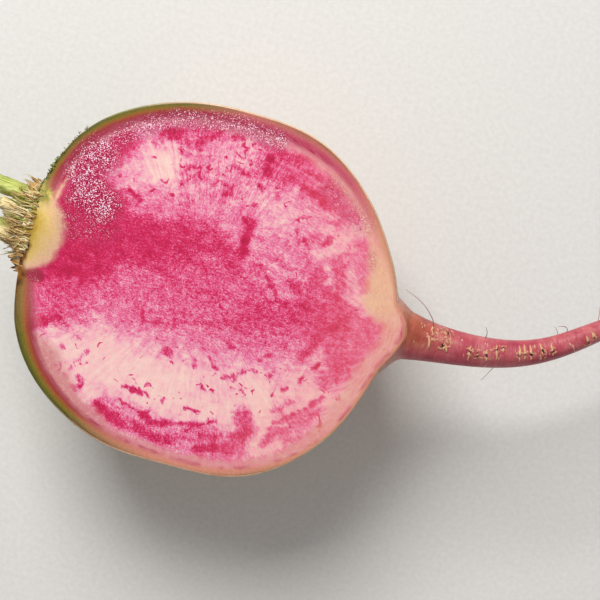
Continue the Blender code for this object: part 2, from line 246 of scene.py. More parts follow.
SCAR_BASE_STRIDE = 9
# How far a patch runs on past its ridges, along and round, and how far cracks and cork reach and how softly.
SCAR_MARGINS = (0.9, 0.8)
SCAR_CRACK = (0.28, 0.16)
SCAR_CORK = (0.85, 0.45)

# Rootlets that are left: metres from the tap root's base, degrees round it, length, how far it starts out
# backwards, and its bends along and round the tap root.
ROOTLETS = (
    (0.0042, 40, 0.0115, 0.3, (1.3, -0.2)), (0.0062, 262, 0.0080, -0.5, (-1.2, 0.8)),
    (0.0160, 20, 0.0030, -0.5, (0.8, -0.9)), (0.0190, 250, 0.0120, -0.5, (0.9, -0.7)),
    (0.0272, 240, 0.0060, -0.5, (-0.8, 0.5)), (0.0335, 300, 0.0045, -0.5, (0.6, 0.9)),
    (0.0352, 12, 0.0036, -1.2, (4.6, 0.3)), (0.0440, 110, 0.0035, -0.5, (0.7, 1.0)),
    (0.0430, 290, 0.0085, -0.5, (-0.5, 0.9)), (0.0560, 60, 0.0050, -0.5, (0.6, 0.7)),
    (0.0640, 200, 0.0045, -0.5, (-0.6, -0.4)), (0.0700, 40, 0.0040, -0.5, (0.5, 0.8)),
    (0.0740, 240, 0.0035, -0.5, (-0.5, 0.5)),
)
ROOTLET_SEED = 31
ROOTLET_STEPS = 18
ROOTLET_SUNK = 0.0003
ROOTLET_BENDING = 1.2
ROOTLET_DROOP = 0.5
ROOTLET_JITTER = 0.10
ROOTLET_CLEAR = 0.0002
ROOTLET_THICK = ((0.0, 0.0002), (0.08, 0.0001), (0.6, 0.00007), (1.0, 0.00003))

# How finely the root is modelled here.
FACE_SAMPLES = 8000
FACE_STATIONS = 250
FACE_ACROSS = 190
SKIN_AROUND = 90
THROAT_STATIONS = 6
TAIL_STATIONS = 200
TAIL_FINE_STATIONS = 400
TAIL_CROWDING = 1.15
PLATE_RINGS = 26
PLATE_ROUGHNESS = 0.0006
RIM_ROUND = 0.00030
RIM_ROUND_SHARE = 0.2
# How much of the rim's place is its own, and how much is from its neighbours on the skin and on the face.
RIM_SHARES = (0.4, 0.3, 0.3)
RIM_TRIES = 80
RIM_PACE = 0.4

# The view is straight down, turned so that the tap root points right and a little down.
VIEW_TURN = math.radians(16.27)
VIEW_AT = (0.0209, 0.00335)
VIEW_HEIGHT = CUT_Z + 0.3014
LENS = 85.0
SENSOR_WIDTH = 36.0
# The light: how bright the surround is, and the place, size and power of the soft lamp.
SURROUND = 0.36
KEY_AT = (-0.26, 0.46, 0.66)
KEY_SIZE = 0.40
KEY_POWER = 6.9
FLOOR_REACH = 1.5

MM = 1000.0

# The grain's own millimetres: from the face's middle to its rim for the vessels, and round a radian for the
# rays.
VESSEL_SPREAD = 36.0
RAY_SPREAD = 30.0

# The dark red bruise below the crown.
BRUISE = ((-35.3, -7.7), (-34.2, -7.6))
# Pigment in the flesh, from 0, cream, to 1, deep magenta. Each stroke is: its pigment, half width, soft
# edge, strength, and the points that it runs through on the cut face, in millimetres.
FLESH_GROUND = 0.42
CLOUDS = (
    (0.4, 9, 9, 0.9, ((-14.5, 23), (-3, 21), (13, 20), (24, 15.5))),
    (0.08, 5, 5.5, 1, ((-24, -16.5), (-17, -19), (-7.5, -20), (2.5, -21.5), (11, -21))),
    (0.17, 3.5, 5.5, 0.9, ((10, -19), (18, -17.5), (26.5, -15.5))),
    (0.1, 2.5, 4, 0.8, ((-28.5, -19.5), (-24, -25.5), (-18.5, -29))),
    (0.3, 2.6, 4.5, 0.8, ((-12, -12.5), (2, -12), (14, -10.5), (27, -10))),
    (0.05, 2, 3, 0.8, ((17.5, -18.5), (22, -27.5))),
    (0.15, 3, 4.5, 0.8, ((29, -11.5), (31.5, -14.5))),
    (0.46, 4.5, 6, 0.9, ((-30, -11.5), (-20.5, -7), (-9.5, -5.5), (3.5, -5), (14, -3.5))),
    (0.48, 4, 6, 0.8, ((8.5, 0), (20, -1.5), (29.5, -4))),
    (0.9, 3.4, 6.5, 1, ((-30, -3), (-23, 1), (-14.5, 3), (-6.5, 4))),
    (0.8, 4, 7, 0.9, ((-29, 7.5), (-24, 4.5), (-12.5, 4.5), (-1, 5.5))),
    (0.78, 2.4, 6, 0.8, ((-6.5, 4), (-0.5, 4), (1, 1.5))),
    (0.56, 2.5, 6.5, 0.8, ((0, 3), (-8, -3.5), (2, -3.5), (9.5, -4))),
    (0.86, 5, 3, 0.9, ((-31, 12.5), (-26.5, 10.5), (-27.5, 6))),
    (0.8, 3, 3, 0.9, ((-29, 21.5), (-25, 23.5))),
    (0.74, 2, 3, 0.8, ((-32, 14.5), (-30.5, 19))),
    (0.62, 3, 3.5, 0.8, ((-32, -12), (-27.5, -11))),
    (0.55, 2.5, 3, 0.7, ((-10.5, -3.5), (-14, -2))),
    (0.5, 2, 2.5, 0.6, ((-16.5, -2), (-17, -4))),
    (0.66, 2.6, 5, 0.8, ((14.5, 2.5), (18.5, 3.5), (22, 2.5), (18.5, -0.5))),
    (0.66, 2, 4, 0.8, ((10.5, -3.5), (18, -1), (26.5, 0))),
    (0.54, 3.5, 4.5, 0.9, ((29.5, 4.5), (34, 1.5), (34, -4))),
    (0.56, 1.6, 3, 0.9, ((25.5, 15.5), (27, 12), (29.5, 7.5), (32, 4), (38, 1.5))),
    (0.58, 0.8, 2.2, 0.9, ((20.6, 14.3), (23.7, 7.5), (26.9, 4))),
    (0.5, 1.5, 3, 0.8, ((33, 9), (32.4, 13.5), (31, 17.5))),
    (0.54, 2.5, 4, 0.8, ((31.5, -7), (34, -5), (38, 0))),
    (0.66, 1.2, 2.6, 0.9, ((25, -0.5), (28, -0.4), (30.5, 1))),
    (0.28, 0.8, 1.8, 0.9, ((28.4, 15), (30.7, 10), (31.8, 7))),
    (0.66, 3.4, 3.5, 0.85, ((7.5, 30.5), (13, 30), (19, 26))),
    (0.6, 2.6, 4, 0.8, ((19, 26), (22.5, 21.5), (24.5, 17.5))),
    (0.56, 2, 3.5, 0.7, ((25, 23.5), (29.5, 20))),
    (0.62, 2.2, 3, 0.7, ((-13.5, 30.5), (-6, 32))),
    (0.24, 2, 3.5, 0.9, ((-18, 23), (-21.5, 18.5))),
    (0, 0.4, 5.6, 1, ((-14.8, 24.2), (-14.4, 22.4))),
    (0.28, 2.5, 3, 0.8, ((-5, 27.5), (0, 29.5))),
    (0.26, 2.6, 3.5, 0.8, ((7, 21.5), (12, 19.5))),
    (0.26, 1.8, 2.5, 0.8, ((15, 24.5), (15.5, 20.5), (21, 20.5))),
    (0.18, 1.2, 2.8, 0.9, ((24.5, 17), (27, 18.8), (29, 20.5))),
    (0.18, 0.9, 1.5, 0.9, ((22.8, 14.2), (23.4, 12.2))),
    (0.24, 0.4, 1.2, 0.9, ((25.6, 10.1), (26, 9.2))),
    (0.22, 0.8, 1.8, 0.8, ((26.9, -8), (28, -8.6))),
    (0.3, 1.5, 3, 0.7, ((14.5, 7), (17, 5.5))),
    (0.1, 0.4, 2.4, 0.8, ((33, 7.2), (35.2, 6))),
)
FLECKS = (
    (1, 0.6, 1.2, 1, BRUISE),
    (0.84, 0.7, 1.2, 1, ((-16.1, 29.8), (-13.9, 30))),
    (0.8, 0.2, 0.7, 1, ((-12.5, 26.8), (-12.2, 26.5))),
    (0.8, 0.3, 0.7, 1, ((-9.3, 29.5), (-6.7, 31.2), (-5.4, 32.7))),
    (0.82, 0.3, 0.7, 1, ((-9.3, 29.3), (-8.7, 28.2))),
    (0.74, 0.2, 0.8, 0.9, ((-2.3, 32.9), (-0.7, 33.2))),
    (0.8, 0.1, 0.4, 0.9, ((-10.1, 23.1), (-8.3, 24.5))),
    (0.72, 0.1, 0.4, 0.9, ((-9.3, 21.1), (-7.3, 23.3))),
    (0.78, 0.2, 0.6, 1, ((-0.4, 26.8), (1.2, 26), (3.1, 25.6))),
    (0.76, 0.1, 0.4, 0.9, ((-3.7, 21.5), (-3.1, 22.7), (-0.4, 22.4), (0.2, 21.9))),
    (0.76, 0.3, 0.8, 0.9, ((-0.5, 20.4), (0.2, 21))),
    (0.9, 0.6, 0.9, 1, ((6.3, 30.6), (6.4, 30.6))),
    (0.92, 0.7, 0.9, 1, ((6.4, 27.9), (6.5, 27.8))),
    (0.84, 0.1, 0.5, 1, ((5.5, 24.3), (6.5, 24), (6.9, 23.4))),
    (0.8, 0.2, 0.5, 1, ((6.1, 19.9), (6.4, 20.4))),
    (0.74, 0.2, 0.7, 0.9, ((9.4, 30.8), (10.7, 30.7))),
    (0.74, 0.3, 0.9, 0.9, ((11.5, 28.8), (13.1, 27.7), (14.8, 27.3))),
    (0.78, 0.4, 1.2, 0.9, ((15.4, 26.1), (18.8, 25.8), (20.6, 24.3))),
    (0.66, 0.1, 0.7, 0.8, ((10, 23.9), (10.5, 22.5))),
    (0.72, 0.1, 0.7, 0.8, ((14.7, 24.6), (15.1, 24.7))),
    (0.76, 0.1, 0.4, 0.9, ((15.8, 17.8), (16.4, 16.7))),
    (0.72, 0.1, 0.4, 0.9, ((18, 16.5), (18.4, 15.7))),
    (0.82, 0.3, 0.7, 0.9, ((22.8, 16.5), (23.5, 17.4))),
    (0.9, 0.3, 1.4, 1, ((5.3, 16.5), (6.3, 16.4), (6.3, 12.4), (6.5, 9.4))),
    (0.95, 0.2, 1, 0.9, ((6.3, 12.4), (6.4, 9.8))),
    (0.62, 0.1, 0.8, 0.7, ((1.3, 12.7), (2.2, 12.1))),
    (0.6, 0.1, 0.8, 0.7, ((-7.6, 16.1), (-6.4, 14.9))),
    (0.74, 0.1, 0.6, 0.8, ((-8.4, -10.1), (1.9, -7.5), (11.9, -3.7), (21.7, 0.5), (29.1, 5.8))),
    (0.84, 0.2, 0.7, 0.9, ((-22, 15.2), (-19.8, 15.4), (-17.8, 14.4))),
    (0.72, 0.1, 0.5, 0.8, ((-23.6, 18.3), (-23.1, 18.2))),
    (0.7, 0.1, 0.6, 0.8, ((-18.3, 26.7), (-17.7, 26.4))),
    (0.82, 0.6, 1, 0.9, ((-27.1, 23.7), (-24.9, 25))),
    (0.8, 0.1, 0.8, 0.9, ((11.1, 8), (13.7, 5.2), (16.6, 2.1), (18.8, 1.4))),
    (0.66, 0.1, 1, 0.7, ((13.7, 10.6), (16.1, 9.3))),
    (0.74, 0.3, 1.2, 0.8, ((17.8, 6.4), (21.9, 3.7), (22.1, 1.5))),
    (0.7, 0.3, 1.5, 0.7, ((26.2, 13.3), (27.6, 10.8))),
    (0.66, 0.1, 1.5, 0.7, ((22.7, 11), (25.4, 6.9), (29.4, 3.2))),
    (0.82, 0.4, 0.9, 1, ((-32.3, -17.7), (-30.9, -16.6), (-27.4, -14.7))),
    (0.7, 0.1, 0.6, 0.9, ((-19.6, -7.6), (-17.4, -8.3), (-16.2, -8.4))),
    (0.62, 0.1, 0.5, 0.9, ((-21.9, -10.9), (-20.6, -11))),
    (0.62, 0.1, 0.5, 0.8, ((-18.4, -9.2), (-16.7, -9.2))),
    (0.72, 0.1, 0.5, 0.9, ((-10.1, -10.4), (-8, -10), (-6.5, -9.1))),
    (0.84, 0.2, 0.9, 1, ((-3.7, -14.9), (-2.4, -15.4))),
    (0.66, 0.1, 0.6, 0.9, ((2.8, -15.2), (3.4, -16.4))),
    (0.6, 0.1, 0.5, 0.9, ((-22.3, -17.2), (-21.8, -17.5))),
    (0.7, 0.1, 0.5, 0.9, ((-25, -20.2), (-24.6, -20.6))),
    (0.6, 0.05, 0.35, 0.9, ((-22.3, -24.8), (-20.6, -21.6), (-19.1, -19.2))),
    (0.76, 0.2, 0.7, 0.9, ((-19.8, -25.6), (-18.8, -26.2), (-18.9, -27.3))),
    (0.72, 0.2, 0.7, 0.9, ((-20.5, -28), (-19.6, -28.6))),
    (0.7, 0.1, 0.6, 0.8, ((-25.5, -24.6), (-24.3, -24))),
    (0.88, 0.1, 0.4, 1, ((-10.3, -24.8), (-7.7, -24.5), (-5.9, -24.9), (-4.5, -25.1))),
    (0.82, 0.2, 0.6, 1, ((-8.2, -25.1), (-6.2, -25.2))),
    (0.8, 0.1, 0.4, 1, ((-9.9, -27.8), (-7.4, -28.6), (-5.5, -29.2), (-3.4, -28.8))),
    (0.84, 0.15, 0.35, 1, ((-1.3, -25.3), (-1.1, -25.4))),
    (0.8, 0.1, 0.5, 1, ((3.5, -25.7), (4.9, -25.5), (6.7, -25.4))),
    (0.84, 0.4, 1.4, 1, ((-14.1, -30.1), (-11, -31.7), (-8.1, -32.6))),
    (0.86, 0.3, 1, 1, ((-5.1, -29.1), (-2.5, -30.5), (0.7, -30))),
    (0.8, 0.3, 1.4, 1, ((-5.3, -32.2), (-1.6, -33.4), (2.8, -33.2))),
    (0.82, 0.1, 0.7, 1, ((0.7, -30), (3.8, -29.1), (7.9, -28.1), (10.8, -26.6))),
    (0.84, 0.3, 0.9, 1, ((8.6, -33.3), (11.3, -32), (12.6, -31.9))),
    (0.7, 0.6, 2.2, 0.9, ((14.4, -31.3), (16.9, -28.4), (18, -26.3), (15.9, -23.6))),
    (0.66, 0.6, 2.5, 0.7, ((5.3, -30.5), (11.7, -29.5))),
    (0.86, 0.3, 0.7, 1, ((9.4, -10.2), (9.8, -10.3))),
    (0.74, 0.1, 0.5, 1, ((6, -13.9), (7, -15.1), (8.1, -15.7))),
    (0.7, 0.1, 0.45, 1, ((9.6, -17.2), (11.8, -16.2), (14, -14.6), (15.7, -13.7))),
    (0.76, 0.15, 0.4, 1, ((11.8, -16.2), (12.3, -17.1))),
    (0.76, 0.15, 0.4, 1, ((15.5, -13.7), (16.2, -13.8))),
    (0.78, 0.1, 0.35, 1, ((6, -19.8), (6.3, -20.2))),
    (0.66, 0.1, 0.5, 0.9, ((15.8, -11.7), (17.1, -10.2), (19.4, -8.2))),
    (0.76, 0.15, 0.6, 0.9, ((20.7, -6.7), (21.1, -6.3))),
    (0.76, 0.2, 1.2, 0.8, ((24.3, -8.3), (26.2, -5.7), (27.5, -2.5), (31.3, 2))),
    (0.84, 0.3, 0.6, 1, ((27.6, -9.8), (28.5, -8.8))),
    (0.74, 0.1, 0.4, 1, ((25.8, -13.4), (26.3, -12.1))),
    (0.78, 0.2, 0.5, 1, ((22.8, -16), (23.3, -15.5))),
    (0.6, 0.1, 0.6, 0.8, ((19.3, -14), (19.7, -13))),
    (0.66, 0.1, 0.8, 0.9, ((22.8, -23.6), (25.9, -21.3), (28.5, -18.8), (31.2, -15.4))),
    (0.55, 0.1, 0.8, 0.8, ((21.9, -21.2), (24.1, -19), (25.4, -18))),
    (0.55, 0.2, 1.5, 0.8, ((26.5, -23.4), (31.6, -17.9))),
    (0.6, 0.1, 0.8, 0.8, ((22.5, -27.2), (22.4, -24.6))),
    (0.6, 0.2, 1.2, 0.8, ((21.8, -28.5), (23.7, -25.1), (25.7, -24.5))),
    (0.55, 0.1, 0.5, 0.8, ((-24.3, -25.6), (-21.8, -26.4))),
    (0.6, 0.5, 2, 0.8, ((31.3, -12.5), (32.5, -9.9), (33.7, -6.2))),
    (1.2, 0.5, 0.9, 1, ((-34.9, -6.9), (-33.9, -7.3))),
    (1.05, 0.3, 0.7, 1, ((-36.6, 11.8), (-35.3, 13.2), (-34, 14.8))),
)

# The rind, round the rim. For each row: the angle in degrees from the tap root's side towards the left side,
# then in millimetres the depth of the ring under the rind, the ring's half thickness, then the ring's
# strength, and how far the pale band inside it reaches.
RIND = (
    (-180, 3, 0.3, 0.1, 1),
    (-166, 3.4, 0.4, 0.25, 0.8),
    (-157, 4.2, 0.35, 0.4, 0.6),
    (-149, 3.9, 0.35, 0.5, 0.9),
    (-140, 3.5, 0.35, 0.4, 3.8),
    (-126, 2.9, 0.35, 0.85, 2.8),
    (-109, 2.5, 0.35, 0.9, 1.6),
    (-87, 2.4, 0.35, 0.75, 1.4),
    (-68, 1.9, 0.4, 0.65, 1.6),
    (-49, 1.4, 0.35, 0.6, 1.8),
    (-31, 1, 0.3, 0.7, 2.6),
    (-20, 0.9, 0.34, 0.75, 3.4),
    (-9, 0.9, 0.4, 0.8, 3),
    (-3, 0.9, 0.45, 0.85, 2.8),
    (2.5, 0.9, 0.45, 0.85, 3.9),
    (7, 0.8, 0.36, 0.6, 5.6),
    (11.5, 0.8, 0.3, 0.3, 7.4),
    (15, 1, 0.4, 0, 5.2),
    (24, 1.6, 0.5, 0.1, 3.2),
    (34, 2.2, 0.6, 0.25, 1.7),
    (50, 2.2, 0.65, 0.6, 2),
    (70, 2.2, 0.85, 1, 2),
    (87, 2.6, 0.75, 0.8, 2.2),
    (106, 2.9, 0.6, 1, 1.9),
    (131, 3.2, 0.65, 1, 1.8),
    (148, 2.4, 0.95, 1, 1.4),
    (160, 2.4, 0.75, 0.9, 0.8),
    (180, 2.6, 0.3, 0.1, 1),
)
# Where the light turned the shoulders green, round the rim: degrees, strength.
GREEN_RIM = ((-180, 0.3), (-168, 0.8), (-158, 0.8), (-150, 1), (-122, 1), (-105, 0.35), (-90, 0), (92, 0),
             (102, 0.7), (112, 1), (140, 1), (152, 0.9), (165, 0.7), (180, 0.4))
# How much of the band inside the ring shows where pigment runs up to the rind.
BAND_RIM = ((-178, 1), (-170, 0.25), (-150, 0.35), (-142, 1))
# Painted shade on the band inside the ring, by its place round the rim: heaviest on the right side towards
# the crown, and at the crown's end.
BAND_SHADE_RIM = ((-180, 0.6), (-170, 0.3), (-158, 0.5), (-145, 1), (-120, 1), (-95, 0.6), (-40, 0.4), (-15, 0),
            (150, 0), (180, 1))
# Where the rind outside the ring is rosy.
ROSE_RIM = ((34, 0), (52, 0.9), (85, 0.9), (110, 0.2), (140, 0.4), (148, 1), (156, 0.9), (168, 0))
# The right edge of the pale tissue in the crown: its place across the root, then along it, in millimetres.
CROWN_EDGE = ((-8, -42), (-7.2, -38.8), (-6.6, -36.4), (-6, -34.5), (-5.2, -33), (-4, -31.9), (-2.5, -31),
              (-0.5, -30.2), (1.2, -29.9), (3.2, -29.9), (5.2, -30.5), (7, -31.6), (8.7, -33.1),
              (10.8, -35.4), (12.2, -36.7), (13.4, -37.8), (15, -42))
CROWN_DEPTH = 7.5
# The narrow pale strip that runs on from it inside the rim.
CROWN_STRIP = ((-33.3, 17), (-34, 14.5), (-34.6, 11.5), (-35, 8.5))
# Where the cut is wettest, with painted glints and painted shade in pits: how wet, half width, soft edge, and
# the points it runs through.
WET_AND_GLINTS = (
    (0.8, 1, 2.3, ((-29.4, 21.4), (-23.5, 27.8), (-14.8, 33.3), (-2.6, 35.7), (7, 34.6))),
    (1, 2, 4.6, ((-28.6, 20.8), (-30.4, 16.2), (-29, 12.6), (-25.4, 10.8))),
    (0.5, 1.5, 4, ((-31, 9.5), (-29, 5.5), (-24, 6))),
    (0.4, 1, 3, ((21, 28), (29, 22.5))),
    (0.4, 0.3, 1.4, ((33, 16.6), (33.6, 14.4))),
    (0.5, 0.4, 1, BRUISE),
)
# Where the inside of the rind is tan rather than pink.
TAN_RIM = ((-180, 0.8), (-168, 0.6), (-150, 0.15), (-60, 0.4), (-35, 0.6), (-10, 0.55), (3, 0.7), (10, 1),
           (22, 1), (34, 0.7), (60, 0.35), (90, 0), (165, 0), (180, 0.6))


def smooth_step(value):
    clamped = np.clip(value, 0.0, 1.0)
    return clamped * clamped * (3.0 - 2.0 * clamped)


def between(stations, at):
    """The value at a distance along the stations, on a smooth curve through them."""
    last = len(stations) - 1
    here = max(i for i in range(last) if stations[i][0] <= at or i == 0)
    (x0, y0), (x1, y1) = stations[here], stations[here + 1]
    before = stations[max(here - 1, 0)]
    after = stations[min(here + 2, last)]
    span = x1 - x0
    slope_0 = (y1 - before[1]) / (x1 - before[0]) * span
    slope_1 = (after[1] - y0) / (after[0] - x0) * span
    t = (at - x0) / span
    return (
        (2 * t**3 - 3 * t**2 + 1) * y0
        + (t**3 - 2 * t**2 + t) * slope_0
        + (3 * t**2 - 2 * t**3) * y1
        + (t**3 - t**2) * slope_1
    )


def bulb_radius(x):
    """The radius of the bulb alone."""
    tailward = x > 0
    reach = np.where(tailward, TAIL_REACH, CROWN_REACH)
    inner = np.where(tailward, TAIL_EXPONENTS[0], CROWN_EXPONENTS[0])
    outer = np.where(tailward, TAIL_EXPONENTS[1], CROWN_EXPONENTS[1])
    share = np.minimum(np.abs(x) / reach, 1.0)
    return BULB_RADIUS * (1.0 - share**inner) ** (1.0 / outer)


def root_radius(x):
    """The radius of the bulb, joined smoothly to the crown's plate and the tap root."""
    flare = TAIL_RADII[0][1] + TAIL_FLARE * smooth_step((TAIL_BASE_X - x) / TAIL_FLARE_OVER)
    end = np.where(x < 0, PLATE_RADIUS, flare)
    return (bulb_radius(x) ** JOIN_SHARPNESS + end**JOIN_SHARPNESS) ** (1.0 / JOIN_SHARPNESS)


def middle_y(x):
    """Where the root's middle lies across, for a place along it."""
    at_crown = PLATE_SHIFT * smooth_step((PLATE_X + PLATE_SHIFT_OVER - x) / PLATE_SHIFT_OVER)
    at_tail = TAIL_SHIFT * smooth_step((x - TAIL_BASE_X + TAIL_SHIFT_OVER) / TAIL_SHIFT_OVER)
    return MIDDLE_LEAN * x + at_crown + at_tail


def skin_radius(x, turn, radius):
    """A radius with the skin's low lumps, less of them where the root is thin."""
    waves = sum(np.sin(folds * turn + pitch * x + start) for folds, pitch, start in LUMP_WAVES)
    return radius + LUMP_HEIGHT * waves * np.minimum(1.0, radius / LUMP_FULL_RADIUS)


def cut_height(x, y):
    """The height of the cut face, which swells a little at the crown."""
    off = np.hypot((x - RISE_X) / RISE_REACH[0], (y - CROWN_Y) / RISE_REACH[1])
    return CUT_Z + RISE * smooth_step(1.0 - off)


def face_stations():
    """Places along x from the plate to the nose, where the cut runs out, closer where the rim is steep."""
    fine = np.linspace(PLATE_X, TAIL_BASE_X, FACE_SAMPLES)
    radii = root_radius(fine)
    nose = np.argmax((fine > 0) & (radii < CUT_ABOVE_AXIS + LUMP_HEIGHT))
    fine, radii = fine[:nose], radii[:nose]
    half = np.sqrt(np.maximum(radii**2 - CUT_ABOVE_AXIS**2, 0.0))
    run = np.concatenate(([0.0], np.cumsum(np.hypot(np.diff(fine), 0.5 * np.diff(half)))))
    return np.interp(np.linspace(0.0, run[-1], FACE_STATIONS), run, fine)


def rim_turn(x, side):
    """The angle round each section at which the knife's path meets the skin."""
    turn = np.full(x.shape, 0.2)
    radius = root_radius(x)
    for _ in range(RIM_TRIES):
        around = turn if side > 0 else math.pi - turn
        out = skin_radius(x, around, radius)
        y = middle_y(x) + side * out * np.cos(turn)
        wanted = np.arcsin(np.clip((cut_height(x, y) - AXIS_Z) / out, -1.0, 1.0))
        turn = (1.0 - RIM_PACE) * turn + RIM_PACE * wanted
    return turn


def tail_frames(steps):
    """Distance, middle, side and up at each step along the tap root's own curve."""
    frames = []
    middle = Vector((TAIL_BASE_X, float(middle_y(TAIL_BASE_X)), AXIS_Z))
    walked = 0.0
    for i in range(steps + 1):
        along = TAIL_LENGTH * (i / steps) ** TAIL_CROWDING
        half_way = (walked + along) / 2
        heading = math.radians(between(TAIL_HEADINGS, half_way))
        fall = 2.0 * TAIL_SAG * half_way / TAIL_LENGTH**2
        forward = Vector((math.cos(heading), math.sin(heading), -fall)).normalized()
        middle = middle + (along - walked) * forward
        side = Vector((-math.sin(heading), math.cos(heading), 0.0))
        frames.append((along, middle, side, forward.cross(side)))
        walked = along
    return frames


class Body:
    """Vertices and faces gathered row by row, with a finish for each face."""

    def __init__(self):
        self.points = []
        self.tones = []
        self.faces = []
        self.finishes = []
        self.count = 0

    def row(self, points, tones=None):
        points = np.asarray(points, float)
        first = self.count
        self.count += len(points)
        self.points.append(points)
        self.tones.append(np.zeros_like(points) if tones is None else np.asarray(tones, float))
        return np.arange(first, self.count)

    def strip(self, one, two, finish=0):
        """Quads between two rows of vertices."""
        for a, b, c, d in zip(one, one[1:], two[1:], two):
            corners = list(dict.fromkeys((a, b, c, d)))
            if len(corners) > 2:
                self.faces.append(corners)
                self.finishes.append(finish)

    def object(self, name, materials):
        mesh = bpy.data.meshes.new(name)
        mesh.from_pydata(np.concatenate(self.points).tolist(), [], [[int(i) for i in f] for f in self.faces])
        for material in materials:
            mesh.materials.append(material)
        mesh.polygons.foreach_set("material_index", self.finishes)
        mesh.shade_smooth()
        store(mesh, "tone", np.concatenate(self.tones))
        made = bpy.data.objects.new(name, mesh)
        bpy.context.scene.collection.objects.link(made)
        return made


FLESH, SKIN = 0, 1


def root_body():
    """The whole root as one closed skin: cut face, rounded rim, skin, crown plate and tap root."""
    body = Body()
    xs = face_stations()
    left, right = rim_turn(xs, 1), rim_turn(xs, -1)
    radii = root_radius(xs)
    ways = np.linspace(0.0, 1.0, FACE_ACROSS)
    own, skinward, inward = RIM_SHARES
    rows = []
    for x, first, last, radius in zip(xs, left, right, radii):
        middle = float(middle_y(x))
        span = math.pi + first + last
        turns = first - span * np.linspace(0.0, 1.0, SKIN_AROUND + 2)
        ease = min(RIM_ROUND, RIM_ROUND_SHARE * radius * math.cos(first))
        turns[1] = first - ease / radius
        turns[-2] = turns[-1] + ease / radius
        turns[2:-2] = np.linspace(turns[1], turns[-2], SKIN_AROUND)[1:-1]
        out = skin_radius(x, turns, radius)
        ys = middle + out * np.cos(turns)
        zs = AXIS_Z + out * np.sin(turns)
        inner = (ys[0] - ease, ys[-1] + ease)
        face_y = inner[0] + (inner[1] - inner[0]) * ways
        face_z = cut_height(x, face_y)
        for edge, near, flat_y, flat_z in ((0, 1, face_y[0], face_z[0]), (-1, -2, face_y[-1], face_z[-1])):
            ys[edge] = own * ys[edge] + skinward * ys[near] + inward * flat_y
            zs[edge] = own * zs[edge] + skinward * zs[near] + inward * flat_z
        zs = np.maximum(zs, 0.0)
        face = body.row(np.column_stack((np.full(FACE_ACROSS, x), face_y, face_z)))
        skin = body.row(np.column_stack((np.full(SKIN_AROUND + 2, x), ys, zs)))
        rows.append((face, skin))
    for (face_a, skin_a), (face_b, skin_b) in zip(rows, rows[1:]):
        body.strip(face_a, face_b, FLESH)
        body.strip(skin_b, skin_a, SKIN)
        body.strip((skin_a[0], face_a[0]), (skin_b[0], face_b[0]), SKIN)
        body.strip((face_a[-1], skin_a[-1]), (face_b[-1], skin_b[-1]), SKIN)
    close_plate(body, rows[0])
    tap_root(body, rows[-1], xs[-1])
    return body, xs


def close_plate(body, row):
    """Rings that close in on the middle of the crown's plate."""
    face, skin = row
    loop = np.concatenate((face, skin[::-1]))
    points = np.concatenate(body.points)[loop]
    middle = points.mean(axis=0)
    ring = np.append(loop, loop[0])
    for i in range(1, PLATE_RINGS):
        placed = middle + (points - middle) * (1.0 - i / PLATE_RINGS)
        rough = np.clip(wander(placed * MM, 1.2, 90), -1.0, 1.0)
        placed[:, 0] += PLATE_ROUGHNESS * rough - 0.5 * PLATE_ROUGHNESS
        near = body.row(placed)
        near = np.append(near, near[0])
        body.strip(near, ring, SKIN)
        ring = near
    centre = body.row([middle])[0]
    body.strip([centre] * len(ring), ring, SKIN)


def tap_root(body, row, nose_x):
    """Whole rings from the nose of the cut to the tip of the tap root."""
    face, skin = row
    turns = math.pi / 2 - 2.0 * math.pi * np.linspace(0.0, 1.0, SKIN_AROUND + 2)[:-1]
    rings = []
    for x in np.linspace(nose_x, TAIL_BASE_X, THROAT_STATIONS + 1)[1:]:
        out = skin_radius(x, turns, float(root_radius(x)))
        ys, zs = middle_y(x) + out * np.cos(turns), AXIS_Z + out * np.sin(turns)
        rings.append(np.column_stack((np.full(len(turns), x), ys, zs)))
    for along, middle, side, up in tail_frames(TAIL_STATIONS)[1:]:
        out = skin_radius(middle.x, turns, between(TAIL_RADII, along))[:, None]
        rings.append(np.array(middle) + out * (np.outer(np.cos(turns), side) + np.outer(np.sin(turns), up)))
    before = None
    for points in rings:
        ring = body.row(points)
        ring = np.append(ring, ring[0])
        if before is None:
            body.strip(ring, skin, SKIN)
            body.strip(face, [ring[0]] * len(face), FLESH)
            body.strip((skin[0], face[0]), (ring[0], ring[0]), SKIN)
            body.strip((face[-1], skin[-1]), (ring[0], ring[0]), SKIN)
        else:
            body.strip(ring, before, SKIN)
        before = ring
    tip = body.row([rings[-1].mean(axis=0)])[0]
    body.strip([tip] * len(before), before, SKIN)


def tube(body, rings, tones):
    """Rings of vertices closed into one skin, with a fan over each end."""
    before = None
    for points, shades in zip(rings, tones):
        ring = body.row(points, shades)
        ring = np.append(ring, ring[0])
        if before is None:
            foot = body.row([np.mean(points, axis=0)], [np.mean(shades, axis=0)])[0]
            body.strip([foot] * len(ring), ring)
        else:
            body.strip(before, ring)
        before = ring
    tip = body.row([np.mean(rings[-1], axis=0)], [np.mean(tones[-1], axis=0)])[0]
    body.strip(before, [tip] * len(before))


def thread(body, path, thick, shade, flat=1.0, sides=6):
    """A tapering tube along a path. thick is its radius from foot to tip, as stations from 0 to 1."""
    turns = 2.0 * math.pi * np.arange(sides) / sides
    rings, tones, side = [], [], None
    for i, middle in enumerate(path):
        ahead = (path[min(i + 1, len(path) - 1)] - path[max(i - 1, 0)]).normalized()
        guide = side if side else ahead.orthogonal()
        side = (guide - guide.dot(ahead) * ahead).normalized()
        up = ahead.cross(side)
        share = i / (len(path) - 1)
        spread = np.outer(np.cos(turns), side) + flat * np.outer(np.sin(turns), up)
        rings.append(np.array(middle) + from_stations(thick, share) * spread)
        tones.append(np.tile((share, shade, 0.0), (sides, 1)))
    tube(body, rings, tones)


def tapered(taper, radius):
    """Stations of a thread's thickness, from its taper and its greatest radius."""
    return [(share, part * radius) for share, part in taper]


